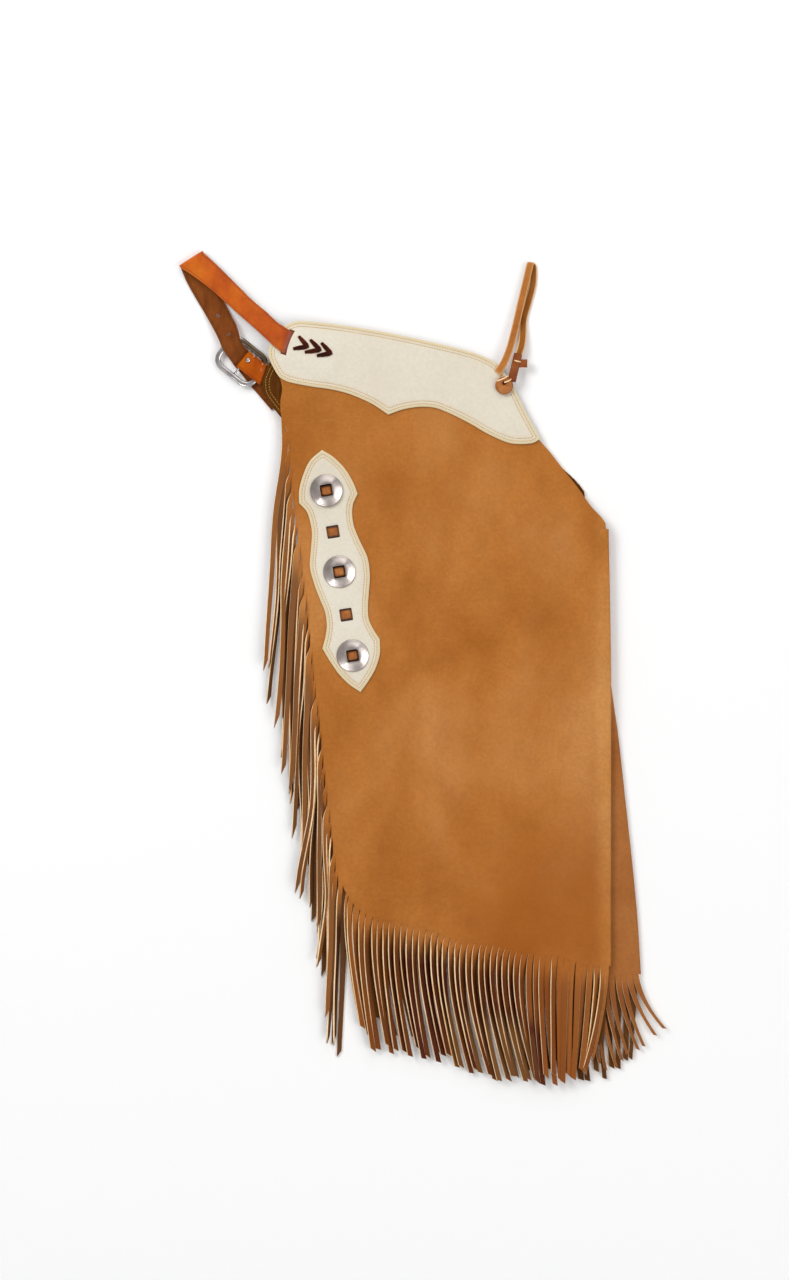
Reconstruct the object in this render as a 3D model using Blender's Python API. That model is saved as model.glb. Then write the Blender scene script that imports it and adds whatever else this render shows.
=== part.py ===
# A folded pair of knee-length fringed leather chaps, lying flat on the floor.
# Every size is in millimetres. +Z is up, and +Y runs from the fringe to the belt.
# The near leg lies on the far leg. Each leg is one sheet, folded at the inner thigh.
import math
import random

import bmesh
import bpy
from mathutils import Vector
from mathutils.geometry import delaunay_2d_cdt

MM = 0.001
ROOT_NAME = "chaps"
# Brings the middle of the whole part over the origin
ROOT_PLACE = (0.6, 0.1, 0.0)

# Leather and the space kept between pieces that touch
WALL = 2.0
STRAP_WALL = 1.8
STRAND_WALL = 1.7
THONG_WALL = 1.6
GAP = 0.35
# Looser space: between the legs, and between a leg and the strip that its strands hang from
LEG_GAP = 0.9
STRIP_GAP = 0.8
YOKE_GAP = 0.55

# Folds at the inner thigh: the flap stands this far off the sheet that it is folded from
FLAP_SPRING = 2.0
FOLD_RADIUS = (FLAP_SPRING + WALL) / 2
FOLD_STEPS = 6
FLAP_WIDTH = 60.0
FLAP_SLANT = 45.0
FAR_FLAP_TOP = WALL + FLAP_SPRING + WALL
NEAR_FLAP_TOP = FAR_FLAP_TOP + GAP + WALL
FLAPS_RISE = NEAR_FLAP_TOP + FLAP_SPRING - WALL - LEG_GAP

# Cells of the leg sheets, and the spacing of the points inside the flat pieces
LEG_ROWS = 22
LEG_COLUMNS = 15
FLAP_COLUMNS = 3
YOKE_SPACING = 19.0
PLATE_SPACING = 17.0

# The belt runs under the far leg's waist end, which rises over it
BELT_LAYERS = 2 * (STRAP_WALL + GAP)
BELT_SIDE_X = (-158.0, -50.0)
BELT_SIDE_Y = (180.0, 288.0)

# The lower edge of the far yoke, along which the far leg comes down to the floor
YOKE_LINE = (-170.0, 286.0, -0.176)
YOKE_RAMP = 100.0

# Where the near leg rises over the two flaps
FLAP_SIDE_X = (30.0, 128.0)
FLAP_SIDE_Y = (150.0, 232.0)

# Slot in the near yoke: its middle, the way in under the yoke, and its half sizes
SLOT_MIDDLE = (-156.5, 374.5)
SLOT_IN = (0.94, -0.342)
SLOT_HALF_LENGTH = 15.0
SLOT_HALF_WIDTH = 3.6
TONGUE_LENGTH = 54.0
TONGUE_FADE = 16.0

# Edges of the near leg. Columns: share of the edge, x, y
NEAR_TOP = (
    (0.00, -173, 358),
    (0.03, -168, 377),
    (0.08, -144, 395),
    (0.18, -106, 392),
    (0.33, -47, 383),
    (0.51, 23, 368),
    (0.61, 62, 357),
    (0.67, 83, 345),
    (0.715, 99, 320),
    (0.755, 113, 293),
    (0.80, 132, 264),
    (0.83, 144, 250),
    (0.875, 161, 228),
    (0.91, 176, 209),
    (0.95, 192, 186),
    (0.98, 205, 172),
    (1.00, 212, 160),
)
NEAR_FOLD = (
    (0.00, 212, 160),
    (0.19, 214, 66),
    (0.34, 215, -11),
    (1.00, 215, -341),
)
NEAR_SIDE = (
    (0.00, -173, 358),
    (0.03, -170, 341),
    (0.05, -165, 332),
    (0.07, -163, 320),
    (0.09, -165, 308),
    (0.12, -164, 290),
    (0.15, -156, 270),
    (0.25, -150, 206),
    (0.39, -139, 121),
    (0.55, -128, 21),
    (0.73, -116, -88),
    (0.89, -105, -188),
    (0.96, -99, -231),
    (1.00, -92, -254),
)
NEAR_HEM = (
    (0.00, -92, -254),
    (0.03, -85, -265),
    (0.06, -75, -277),
    (0.12, -55, -287),
    (0.23, -22, -293),
    (0.34, 13, -303),
    (0.45, 47, -315),
    (0.56, 82, -318),
    (0.67, 115, -326),
    (0.79, 151, -329),
    (0.90, 185, -339),
    (1.00, 215, -341),
)

# Edges of the far leg, which is turned a little so that its fold shows on the right
FAR_TOP = (
    (0.00, -168, 366),
    (0.05, -150, 383),
    (0.17, -106, 386),
    (0.33, -47, 377),
    (0.53, 23, 362),
    (0.63, 60, 350),
    (0.69, 80, 338),
    (0.75, 98, 316),
    (0.80, 112, 289),
    (0.85, 128, 260),
    (0.93, 161, 229),
    (0.97, 175, 216),
    (0.99, 185, 203),
    (1.00, 189, 191),
)
FAR_FOLD = (
    (0.00, 189, 191),
    (0.18, 202, 90),
    (0.39, 216, -21),
    (0.50, 224, -79),
    (0.61, 231, -142),
    (0.78, 241, -234),
    (0.88, 246, -288),
    (1.00, 250, -352),
)
FAR_SIDE = (
    (0.00, -168, 366),
    (0.025, -178, 351),
    (0.05, -185, 336),
    (0.07, -186, 326),
    (0.09, -184, 315),
    (0.11, -176, 303),
    (0.13, -168, 293),
    (0.16, -157, 279),
    (0.20, -145, 255),
    (0.41, -132, 121),
    (0.56, -121, 21),
    (0.73, -109, -88),
    (0.88, -98, -188),
    (1.00, -86, -264),
)
FAR_HEM = (
    (0.00, -86, -264),
    (0.08, -60, -291),
    (0.30, 18, -312),
    (0.58, 110, -331),
    (0.86, 205, -346),
    (1.00, 250, -352),
)

# Outline of the near yoke, from its rounded waist end. Columns: x, y
NEAR_YOKE = (
    (-176, 374), (-168, 387), (-159, 394), (-144, 400), (-106, 396), (-47, 387), (23, 372),
    (63, 361), (85, 349), (103, 323), (117, 295), (134, 264), (124, 259), (100, 259), (75, 269),
    (56, 280), (41, 288), (26, 295), (12, 300), (-5, 301), (-24, 298), (-41, 292), (-61, 305),
    (-87, 316), (-108, 321), (-130, 324), (-155, 329), (-165, 334), (-171, 342), (-178, 358),
)
# Outline of the far yoke, under the far leg
FAR_YOKE = (
    (-168, 366), (-150, 383), (-106, 386), (-47, 377), (23, 362), (60, 350), (80, 338),
    (98, 316), (112, 289), (128, 260), (138, 250), (120, 245), (100, 245), (75, 254), (41, 273),
    (12, 283), (-5, 284), (-24, 280), (-41, 274), (-61, 285), (-87, 293), (-130, 297),
    (-165, 298), (-176, 303), (-184, 315), (-186, 326), (-185, 336), (-178, 351),
)

# The plate under the conchos: its middle and tilt, then its two sides along its axis
PLATE_MIDDLE = (-95.2, 112.1)
PLATE_TILT = math.radians(9.04)
# Columns: distance along the axis from the middle, reach to the right, reach to the left
PLATE_SIDES = (
    (-140.9, 0.0, 0.0),
    (-131.0, 11.5, 15.3),
    (-116.0, 22.4, 25.8),
    (-99.0, 29.4, 33.3),
    (-85.0, 32.6, 35.6),
    (-74.0, 25.5, 28.5),
    (-63.0, 22.7, 26.5),
    (-48.5, 22.6, 26.4),
    (-31.0, 26.6, 30.3),
    (-10.4, 32.3, 34.8),
    (10.0, 31.8, 33.0),
    (28.5, 27.7, 29.2),
    (44.0, 24.2, 25.7),
    (59.0, 22.6, 26.2),
    (72.0, 26.0, 29.9),
    (84.5, 31.5, 35.4),
    (101.0, 28.9, 28.8),
    (117.0, 21.2, 21.0),
    (130.0, 10.8, 11.6),
    (140.9, 0.0, 0.0),
)
CONCHO_ALONG = (-94.1, 0.5, 98.1)
WINDOW_ALONG = (-46.1, 50.5)
WINDOW_ACROSS = -2.3
WINDOW_HALF = 7.2
THONG_HALF_WIDTH = 6.0
THONG_HALF_LENGTH = 6.75
THONG_BULGE = 1.7

# Conchos: domed discs with a square window. Columns: share from rim to window, height
CONCHO_RADIUS = 18.65
CONCHO_WINDOW_HALF = 6.9
CONCHO_WALL = 1.2
CONCHO_PROFILE = ((0.0, 0.0), (0.12, 0.9), (0.55, 2.4), (1.0, 3.0))
CONCHO_SIDES = 32

# Lacing on the near yoke: three arrowheads. Columns: upper end, tip, lower end
ARROWS = (
    ((-143.8, 381.2), (-133.6, 369.4), (-150.1, 366.7)),
    ((-130.6, 377.3), (-119.4, 365.6), (-136.8, 362.8)),
    ((-117.8, 373.7), (-106.9, 361.8), (-123.0, 358.8)),
)
ARROW_WIDTH = 3.4
ARROW_WALL = 1.2

# The belt strap from its tongue under the near yoke to its tail.
# Columns: left edge x, y, right edge x, y, what it lies on or its middle height
BELT_START = (
    (-116.9, 347.4, -107.6, 372.9, "leg"),
    (-128.6, 351.6, -119.3, 377.1, "leg"),
    (-140.3, 355.9, -131.0, 381.4, "leg"),
    (-151.0, 358.4, -141.7, 383.9, "leg"),
    (-158.4, 360.7, -149.1, 386.3, "leg"),
    (-163.9, 362.9, -154.6, 388.4, "yoke"),
    (-170.5, 368.5, -161.0, 392.5, "yoke"),
    (-178.0, 375.0, -168.0, 397.0, "yoke"),
    (-195.0, 391.0, -181.0, 409.5, 13.6),
    (-211.0, 405.0, -197.0, 423.0, 12.3),
    (-226.0, 418.5, -212.0, 438.0, 11.0),
    (-243.0, 434.0, -227.0, 453.0, 9.8),
    (-261.0, 448.0, -240.0, 466.0, 8.7),
    (-272.5, 456.0, -247.5, 472.8, 8.1),
)
BELT_FOLD = (-279.7, 460.4, -252.7, 477.4)
BELT_FOLD_OUT = (-0.533, 0.846)
BELT_FOLD_TOP = 8.0
BELT_FOLD_RADIUS = 3.35
BELT_END = (
    (-275.5, 450.0, -248.0, 462.0, 1.3),
    (-270.0, 439.0, -243.0, 448.0, 1.3),
    (-262.0, 425.0, -235.5, 433.0, 1.3),
    (-253.0, 410.0, -228.0, 418.0, 2.2),
    (-243.0, 392.0, -220.0, 403.0, 5.4),
    (-237.0, 380.5, -216.0, 396.0, 8.4),
    (-232.0, 368.5, -213.0, 386.0, 8.8),
    (-226.5, 360.0, -210.5, 375.5, 8.3),
    (-221.5, 353.0, -206.0, 369.5, 4.6),
    (-217.5, 347.5, -201.0, 365.5, 1.6),
    (-212.0, 341.5, -194.5, 360.0, 1.2),
    (-204.5, 331.5, -186.0, 351.0, 1.2),
    (-190.0, 314.5, -172.0, 333.5, 1.2),
    (-175.5, 297.5, -158.0, 314.5, 1.2),
)

# Buckle: a rounded frame with a middle bar, turned along the belt's tail
BUCKLE_MIDDLE = (-210.0, 353.4)
BUCKLE_ALONG = (0.783, -0.622)
BUCKLE_ACROSS = (0.622, 0.783)
BUCKLE_HALF_LENGTH = 25.4
BUCKLE_HALF_WIDTH = 19.5
BUCKLE_CORNER = 12.0
BUCKLE_ROD = (2.2, 1.5)
BUCKLE_HEIGHT = 5.8
BUCKLE_BAR_RADIUS = 1.3
BUCKLE_BAR_ALONG = 2.6

# The billet that holds the buckle: its turned-back part is cut slanting along the far leg's end
BILLET_ACROSS = (-8.5, 14.6)
BILLET_UPPER_LENGTH = (32.0, 23.5)
BILLET_LOWER_LENGTH = 47.0
RIVET = (-202.4, 354.2, 2.6, 1.5)

# The waist lace. Columns: left edge x, y, right edge x, y, middle height
LACE_FRONT = (
    (81.0, 342.5, 87.6, 336.5, 11.2),
    (88.0, 353.0, 95.0, 348.0, 11.2),
    (94.0, 367.0, 101.5, 364.0, 10.5),
    (100.5, 391.0, 108.5, 388.5, 8.4),
    (107.0, 419.0, 115.2, 417.5, 6.9),
    (113.5, 446.0, 121.5, 445.0, 5.7),
    (117.6, 463.5, 125.8, 462.7, 5.2),
)
LACE_FOLD = (
    (118.5, 466.5, 126.6, 465.7, 4.7),
    (119.8, 467.5, 127.9, 466.4, 3.2),
    (121.2, 466.5, 129.3, 465.3, 1.7),
)
LACE_BACK = (
    (122.3, 460.5, 130.4, 459.5, 1.2),
    (121.5, 443.5, 129.6, 442.5, 1.2),
    (115.8, 421.5, 124.0, 420.0, 1.2),
    (110.8, 402.5, 119.0, 401.8, 2.0),
    (109.6, 382.5, 117.8, 382.0, 5.2),
    (107.8, 371.0, 116.0, 369.5, 8.0),
    (105.0, 361.8, 112.8, 360.2, 9.6),
)
LACE_WALL = 1.6
KEEPER_ENDS = ((100.0, 337.5, 13.5), (107.8, 360.0, 10.4))
KEEPER_HALF = (4.9, 2.9)
STUB_MIDDLE = (115.8, 350.5, 11.0)
STUB_HALF = (4.0, 4.6, 1.8)
KNOT_MIDDLE = (92.0, 325.0, 12.8)
KNOT_RADIUS = 6.1
KNOT_STEPS = 16
KNOT_HALF = (4.1, 2.5)

# Fringe: strips of leather left on the edges and slit into strands
STRIP_WIDTH = 4.0
# Depths below the root at which a side strand turns, then the shares of its length
SIDE_TURNS = (3.0, 19.0, 60.0)
SIDE_SHARES = (0.45, 0.72, 1.0)
SIDE_SLIT = 0.35
HEM_SHARES = (0.07, 0.3, 0.52, 0.76, 1.0)
HEM_ROOT_SHARE = 0.86
DRIFT_POWER = 1.7
SIDE_END = 0.99
HEM_ENDS = (0.01, 0.99)
NEAR_FIRST_ROW = 3
FAR_FIRST_ROW = 6
STRAND_END_SHRINK = 0.75
NEAR_SIDE_STRANDS = 26
FAR_SIDE_STRANDS = 10
NEAR_HEM_STRANDS = 3 * LEG_COLUMNS
FAR_HEM_STRANDS = 2 * LEG_COLUMNS
NEAR_FLAP_STRANDS = 8
FAR_FLAP_STRANDS = 9
FLAP_STRANDS_X = (30.0, 140.0)
SIDE_LENGTHS = (300.0, 190.0)
SIDE_WIDTH = 5.6
SIDE_LEAN = 0.043
SIDE_ROOT_SHARE = 0.7
SIDE_SETTLE = (10.0, 130.0)
SIDE_LEVELS = (3.9, 6.0)
FAR_SIDE_LEVELS = (1.2,)
# Middle height of a hem's low strands, then how far every second one lies above them
NEAR_HEM_LEVELS = (6.0, 2.6)
FAR_HEM_LEVELS = (1.3, 2.1)
NEAR_FLAP_LEVELS = (8.45, 0.0)
FAR_FLAP_LEVELS = (6.2, 0.0)
FLAP_STRANDS_LIFT = 4.8

# Length and drift of the hem strands. Columns: share of the hem, length, bow, drift of the end
NEAR_HEM_SHAPES = (
    (0.00, 142, -3, 14),
    (0.08, 156, -3, 10),
    (0.18, 150, -3, 10),
    (0.34, 148, -4, 13),
    (0.50, 152, -4, 15),
    (0.66, 153, -4, 12),
    (0.76, 150, -3, 8),
    (0.86, 138, -2, -2),
    (0.94, 125, 0, -11),
    (1.00, 108, 2, -18),
)
FAR_HEM_SHAPES = (
    (0.00, 120, -2, 16),
    (0.30, 132, -3, 15),
    (0.60, 135, -3, 12),
    (0.85, 125, -2, 6),
    (1.00, 92, 0, -6),
)
# Rows run from the flap's free edge to the fold
FAR_FLAP_SHAPES = (
    (0.00, 108, -2, 10),
    (0.25, 108, -2, 16),
    (0.50, 96, -1, 20),
    (0.75, 80, 0, 24),
    (1.00, 56, 1, 38),
)
NEAR_FLAP_SHAPES = ((0.00, 105, -1, 2), (1.00, 92, 0, -4))

# Colours, roughness, metal share
LOOKS = {
    "tan_leather": ((0.44, 0.15, 0.03), 0.62, 0.0),
    "cream_leather": ((0.75, 0.68, 0.55), 0.7, 0.0),
    "orange_leather": ((0.56, 0.12, 0.01), 0.45, 0.0),
    "dark_lacing": ((0.06, 0.012, 0.004), 0.6, 0.0),
    "steel": ((0.75, 0.72, 0.68), 0.28, 1.0),
}


def clear_scene():
    for old in list(bpy.data.objects):
        bpy.data.objects.remove(old, do_unlink=True)


def new_material(name, look):
    colour, roughness, metallic = LOOKS[look]
    material = bpy.data.materials.new(name)
    material.use_nodes = True
    shader = material.node_tree.nodes["Principled BSDF"]
    shader.inputs["Base Color"].default_value = (*colour, 1.0)
    shader.inputs["Roughness"].default_value = roughness
    shader.inputs["Metallic"].default_value = metallic
    return material


def new_root():
    """The empty that holds every piece, so that the part stands centred on the origin."""
    root = bpy.data.objects.new(ROOT_NAME, None)
    root.location = Vector(ROOT_PLACE) * MM
    bpy.context.scene.collection.objects.link(root)


def new_object(name, points, faces, look, smooth=True):
    """A piece with its origin at its middle, held by the root."""
    points = [Vector(p) for p in points]
    low = Vector([min(p[axis] for p in points) for axis in range(3)])
    high = Vector([max(p[axis] for p in points) for axis in range(3)])
    middle = (low + high) / 2
    mesh = bpy.data.meshes.new(name)
    mesh.from_pydata([(p - middle) * MM for p in points], [], faces)
    edit = bmesh.new()
    edit.from_mesh(mesh)
    bmesh.ops.recalc_face_normals(edit, faces=edit.faces[:])
    for face in edit.faces:
        face.smooth = smooth
    edit.to_mesh(mesh)
    edit.free()
    mesh.materials.append(new_material(name, look))
    made = bpy.data.objects.new(name, mesh)
    made.location = middle * MM
    made.parent = bpy.data.objects[ROOT_NAME]
    bpy.context.scene.collection.objects.link(made)
    return made


def smooth_step(share):
    share = min(max(share, 0.0), 1.0)
    return share * share * (3.0 - 2.0 * share)


def fade(value, ends):
    """0 at the first end and 1 at the second, eased at both."""
    return smooth_step((value - ends[0]) / (ends[1] - ends[0]))


def mix(a, b, share):
    return a + (b - a) * share


def at_share(table, share):
    """The other columns of a table at this value of its first column."""
    share = min(max(share, table[0][0]), table[-1][0])
    for low, high in zip(table, table[1:]):
        if share <= high[0]:
            part = (share - low[0]) / (high[0] - low[0])
            return [mix(a, b, part) for a, b in zip(low[1:], high[1:])]
    return list(table[-1][1:])


# Heights of the layers, from the floor up


def belt_rise(x, y):
    return BELT_LAYERS * (1.0 - fade(x, BELT_SIDE_X)) * fade(y, BELT_SIDE_Y)


def far_leg_bottom(x, y):
    line = YOKE_LINE[1] + (x - YOKE_LINE[0]) * YOKE_LINE[2]
    return belt_rise(x, y) + (WALL + GAP) * fade(y, (line - YOKE_RAMP, line))


def near_leg_bottom(x, y):
    flaps = fade(x, FLAP_SIDE_X) * (1.0 - fade(y, FLAP_SIDE_Y))
    return far_leg_bottom(x, y) + WALL + LEG_GAP + FLAPS_RISE * flaps


def near_leg_top(x, y):
    return near_leg_bottom(x, y) + WALL


def slot_frame(x, y):
    """Distance in under the yoke from the slot's middle, and along the slot."""
    dx = x - SLOT_MIDDLE[0]
    dy = y - SLOT_MIDDLE[1]
    return dx * SLOT_IN[0] + dy * SLOT_IN[1], dy * SLOT_IN[0] - dx * SLOT_IN[1]


def tongue_rise(x, y):
    inward, along = slot_frame(x, y)
    start = fade(inward, (-SLOT_HALF_WIDTH, SLOT_HALF_WIDTH))
    end = 1.0 - fade(inward, (TONGUE_LENGTH, TONGUE_LENGTH + TONGUE_FADE))
    side = 1.0 - fade(abs(along), (SLOT_HALF_LENGTH, SLOT_HALF_LENGTH + TONGUE_FADE))
    return (STRAP_WALL + GAP) * start * end * side


def near_yoke_bottom(x, y):
    return near_leg_top(x, y) + YOKE_GAP + tongue_rise(x, y)


def near_yoke_top(x, y):
    return near_yoke_bottom(x, y) + WALL


# Builders


def wall(name, grid, thickness, look):
    """A sheet of even thickness round a grid of middle points, closed at its edges."""
    rows = len(grid)
    columns = len(grid[0])
    points = []
    for side in (0.5, -0.5):
        for r in range(rows):
            for c in range(columns):
                down = grid[min(r + 1, rows - 1)][c] - grid[max(r - 1, 0)][c]
                across = grid[r][min(c + 1, columns - 1)] - grid[r][max(c - 1, 0)]
                points.append(grid[r][c] + across.cross(down).normalized() * -thickness * side)
    back = rows * columns
    faces = []
    for r in range(rows - 1):
        for c in range(columns - 1):
            a = r * columns + c
            quad = (a, a + 1, a + columns + 1, a + columns)
            faces.append(quad)
            faces.append(tuple(back + i for i in reversed(quad)))
    rim = list(range(columns))
    rim += [r * columns + columns - 1 for r in range(1, rows)]
    rim += [(rows - 1) * columns + c for c in range(columns - 2, -1, -1)]
    rim += [r * columns for r in range(rows - 2, 0, -1)]
    for a, b in zip(rim, rim[1:] + rim[:1]):
        faces.append((a, back + a, back + b, b))
    return new_object(name, points, faces, look)


def inside(outline, x, y):
    found = False
    for (ax, ay), (bx, by) in zip(outline, outline[1:] + outline[:1]):
        if (ay > y) != (by > y) and x < ax + (bx - ax) * (y - ay) / (by - ay):
            found = not found
    return found


def edge_distance(outline, x, y):
    nearest = math.inf
    for (ax, ay), (bx, by) in zip(outline, outline[1:] + outline[:1]):
        edge = Vector((bx - ax, by - ay))
        reach = Vector((x - ax, y - ay))
        share = min(max(reach.dot(edge) / edge.length_squared, 0.0), 1.0)
        nearest = min(nearest, (reach - edge * share).length)
    return nearest


def clear_inside(outline, point, margin):
    return inside(outline, *point) and edge_distance(outline, *point) > margin


def split_edges(outline, longest):
    """The outline with points added so that no edge is longer than this."""
    out = []
    for (ax, ay), (bx, by) in zip(outline, outline[1:] + outline[:1]):
        steps = max(1, math.ceil(math.hypot(bx - ax, by - ay) / longest))
        out += [(mix(ax, bx, i / steps), mix(ay, by, i / steps)) for i in range(steps)]
    return out


def lattice(outlines, spacing, creases):
    """Evenly spaced points inside the first outline, clear of every edge and crease."""
    low_x = min(x for x, y in outlines[0])
    high_x = max(x for x, y in outlines[0])
    low_y = min(y for x, y in outlines[0])
    high_y = max(y for x, y in outlines[0])
    found = []
    row_height = spacing * math.sqrt(0.75)
    for row in range(math.floor(low_y / row_height), math.ceil(high_y / row_height)):
        shift = spacing / 2 * (row % 2)
        for column in range(math.floor(low_x / spacing), math.ceil(high_x / spacing)):
            x = column * spacing + shift
            y = row * row_height
            holes = any(inside(hole, x, y) for hole in outlines[1:])
            clear = min(edge_distance(outline, x, y) for outline in outlines) > spacing / 3
            clear = clear and all(math.dist(p, (x, y)) > spacing / 3 for c in creases for p in c)
            if inside(outlines[0], x, y) and not holes and clear:
                found.append((x, y))
    return found


def flat_piece(name, outline, holes, spacing, bottom, thickness, look, creases=()):
    """A cut piece of leather that lies on the height `bottom`, with holes through it."""
    outlines = [split_edges(list(outline), spacing)]
    outlines += [split_edges(list(hole), spacing) for hole in holes]
    creases = [[p for p in line if clear_inside(outlines[0], p, spacing / 4)] for line in creases]
    flat = []
    edges = []
    for ring in outlines:
        first = len(flat)
        flat += ring
        edges += [(first + i, first + (i + 1) % len(ring)) for i in range(len(ring))]
    for line in creases:
        first = len(flat)
        flat += line
        edges += [(first + i, first + i + 1) for i in range(len(line) - 1)]
    flat += lattice(outlines, spacing, creases)
    made = delaunay_2d_cdt([Vector(p) for p in flat], edges, [], 1, 1e-5)
    points = [(p.x, p.y, bottom(p.x, p.y) + thickness) for p in made[0]]
    points += [(p.x, p.y, bottom(p.x, p.y)) for p in made[0]]
    back = len(made[0])
    top = []
    for face in made[2]:
        x = sum(made[0][i].x for i in face) / 3
        y = sum(made[0][i].y for i in face) / 3
        if not any(inside(hole, x, y) for hole in outlines[1:]):
            top.append(tuple(face))
    sides = {(a, b) for face in top for a, b in zip(face, face[1:] + face[:1])}
    faces = top + [tuple(back + i for i in reversed(face)) for face in top]
    faces += [(a, back + a, back + b, b) for a, b in sorted(sides) if (b, a) not in sides]
    return new_object(name, points, faces, look, smooth=False)


def ribbon(name, stations, columns, thickness, look):
    """A strap through sections that give its left edge, its right edge and its height."""
    grid = []
    for left_x, left_y, right_x, right_y, height in stations:
        row = []
        for c in range(columns):
            share = c / (columns - 1)
            x = mix(left_x, right_x, share)
            y = mix(left_y, right_y, share)
            row.append(Vector((x, y, lying_height(height, x, y, thickness))))
        grid.append(row)
    return wall(name, grid, thickness, look)


def lying_height(height, x, y, thickness):
    if height == "leg":
        return near_leg_top(x, y) + GAP + thickness / 2
    if height == "yoke":
        return near_leg_top(x, y) + YOKE_GAP + WALL + GAP + thickness / 2
    return height


def tube(name, path, half_width, half_height, sides, look, closed):
    """A rounded rod round a path, flatter or taller than wide where the two halves differ."""
    points = []
    count = len(path)
    for i, middle in enumerate(path):
        before = path[i - 1] if closed or i else path[i]
        after = path[(i + 1) % count] if closed or i < count - 1 else path[i]
        forward = (after - before).normalized()
        side = forward.cross(Vector((0, 0, 1))).normalized()
        up = side.cross(forward)
        for k in range(sides):
            angle = 2 * math.pi * (k + 0.5) / sides
            points.append(
                middle + side * half_width * math.cos(angle) + up * half_height * math.sin(angle)
            )
    faces = []
    for i in range(count if closed else count - 1):
        for k in range(sides):
            a = i * sides + k
            b = i * sides + (k + 1) % sides
            c = ((i + 1) % count) * sides + (k + 1) % sides
            d = ((i + 1) % count) * sides + k
            faces.append((a, b, c, d))
    if not closed:
        faces.append(tuple(range(sides)))
        faces.append(tuple(range((count - 1) * sides, count * sides)))
    return new_object(name, points, faces, look)


# Legs


def leg_point(top, fold, side, hem, across, down):
    """A point of the sheet between its four edges."""
    t = Vector(at_share(top, across))
    h = Vector(at_share(hem, across))
    s = Vector(at_share(side, down))
    f = Vector(at_share(fold, down))
    corners = (
        Vector(top[0][1:]) * (1 - across) * (1 - down)
        + Vector(top[-1][1:]) * across * (1 - down)
        + Vector(hem[0][1:]) * (1 - across) * down
        + Vector(hem[-1][1:]) * across * down
    )
    return t * (1 - down) + h * down + s * (1 - across) + f * across - corners


def even_edge(table, steps):
    """The edge at the rows or columns of the leg's cells."""
    return [(i / steps, *at_share(table, i / steps)) for i in range(steps + 1)]


def drawn_side(table, first_row, distance):
    """A side edge moved in from its slits, from the first fringed row to the hem's corner."""
    rows = even_edge(table, LEG_ROWS)
    moved = []
    for i, (s, x, y) in enumerate(rows):
        dx = distance if i >= first_row else 0.0
        dy = distance if i == LEG_ROWS else 0.0
        moved.append((s, x + dx, y + dy))
    return moved


def drawn_hem(table, distance):
    """A hem moved up from its slits."""
    rows = even_edge(table, LEG_COLUMNS)
    return [(s, x + (0.0 if i else distance), y + distance) for i, (s, x, y) in enumerate(rows)]


def keep_strip(edges, first_row):
    """The edges of a leg drawn in by the width of the fringe strips."""
    top, fold, side, hem = edges
    drawn = STRIP_WIDTH + STRIP_GAP
    fold = even_edge(fold, LEG_ROWS)
    fold[-1] = (1.0, fold[-1][1], fold[-1][2] + drawn)
    return top, fold, drawn_side(side, first_row, drawn), drawn_hem(hem, drawn)


def leg(name, edges, first_row, outer_bottom, flap_up, look):
    """One leg: the outer sheet, the bend at the fold and the flap behind or before it."""
    top, fold, side, hem = keep_strip(edges, first_row)
    grid = []
    for r in range(LEG_ROWS + 1):
        down = r / LEG_ROWS
        row = []
        for c in range(LEG_COLUMNS + 1):
            across = c / LEG_COLUMNS
            x, y = leg_point(top, fold, side, hem, across, down)
            if c == LEG_COLUMNS:
                x -= FOLD_RADIUS + WALL / 2
            row.append(Vector((x, y, outer_bottom(x, y) + WALL / 2)))
        bend = row[-1]
        for k in range(1, FOLD_STEPS + 1):
            angle = math.pi * k / FOLD_STEPS
            turn = Vector((math.sin(angle), 0, flap_up * (1 - math.cos(angle))))
            row.append(bend + turn * FOLD_RADIUS)
        height = row[-1].z - outer_bottom(bend.x, bend.y)
        for k in range(1, FLAP_COLUMNS + 1):
            share = k / FLAP_COLUMNS
            x = bend.x - FLAP_WIDTH * share
            y = bend.y - FLAP_SLANT * share * (1 - down)
            base = height + outer_bottom(bend.x, bend.y) - far_leg_bottom(bend.x, bend.y)
            row.append(Vector((x, y, base + far_leg_bottom(x, y))))
        grid.append(row)
    return wall(name, grid, WALL, look)


# Fringe


def fringe(name, roots, inner, paths, look):
    """A strip along an edge, slit into strands. roots and inner are (x, y, middle height)."""
    half = STRAND_WALL / 2
    points = []
    faces = []
    for x, y, z in roots + inner:
        points.append((x, y, z + half))
        points.append((x, y, z - half))
    count = len(roots)

    def root(i):
        return 2 * i

    def edge(i):
        return 2 * (count + i)

    for i, path in enumerate(paths):
        faces.append((edge(i), edge(i + 1), root(i + 1), root(i)))
        faces.append((edge(i) + 1, root(i) + 1, root(i + 1) + 1, edge(i + 1) + 1))
        faces.append((edge(i), edge(i) + 1, edge(i + 1) + 1, edge(i + 1)))
        last = [root(i), root(i + 1), root(i + 1) + 1, root(i) + 1]
        for (ax, ay), (bx, by), height in path:
            ring = list(range(len(points), len(points) + 4))
            points += [
                (ax, ay, height + half), (bx, by, height + half),
                (bx, by, height - half), (ax, ay, height - half),
            ]
            for k in range(4):
                faces.append((last[k], last[(k + 1) % 4], ring[(k + 1) % 4], ring[k]))
            last = ring
        faces.append(tuple(last))
    for i in (0, count - 1):
        faces.append((edge(i), root(i), root(i) + 1, edge(i) + 1))
    return new_object(name, points, faces, look, smooth=False)


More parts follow.
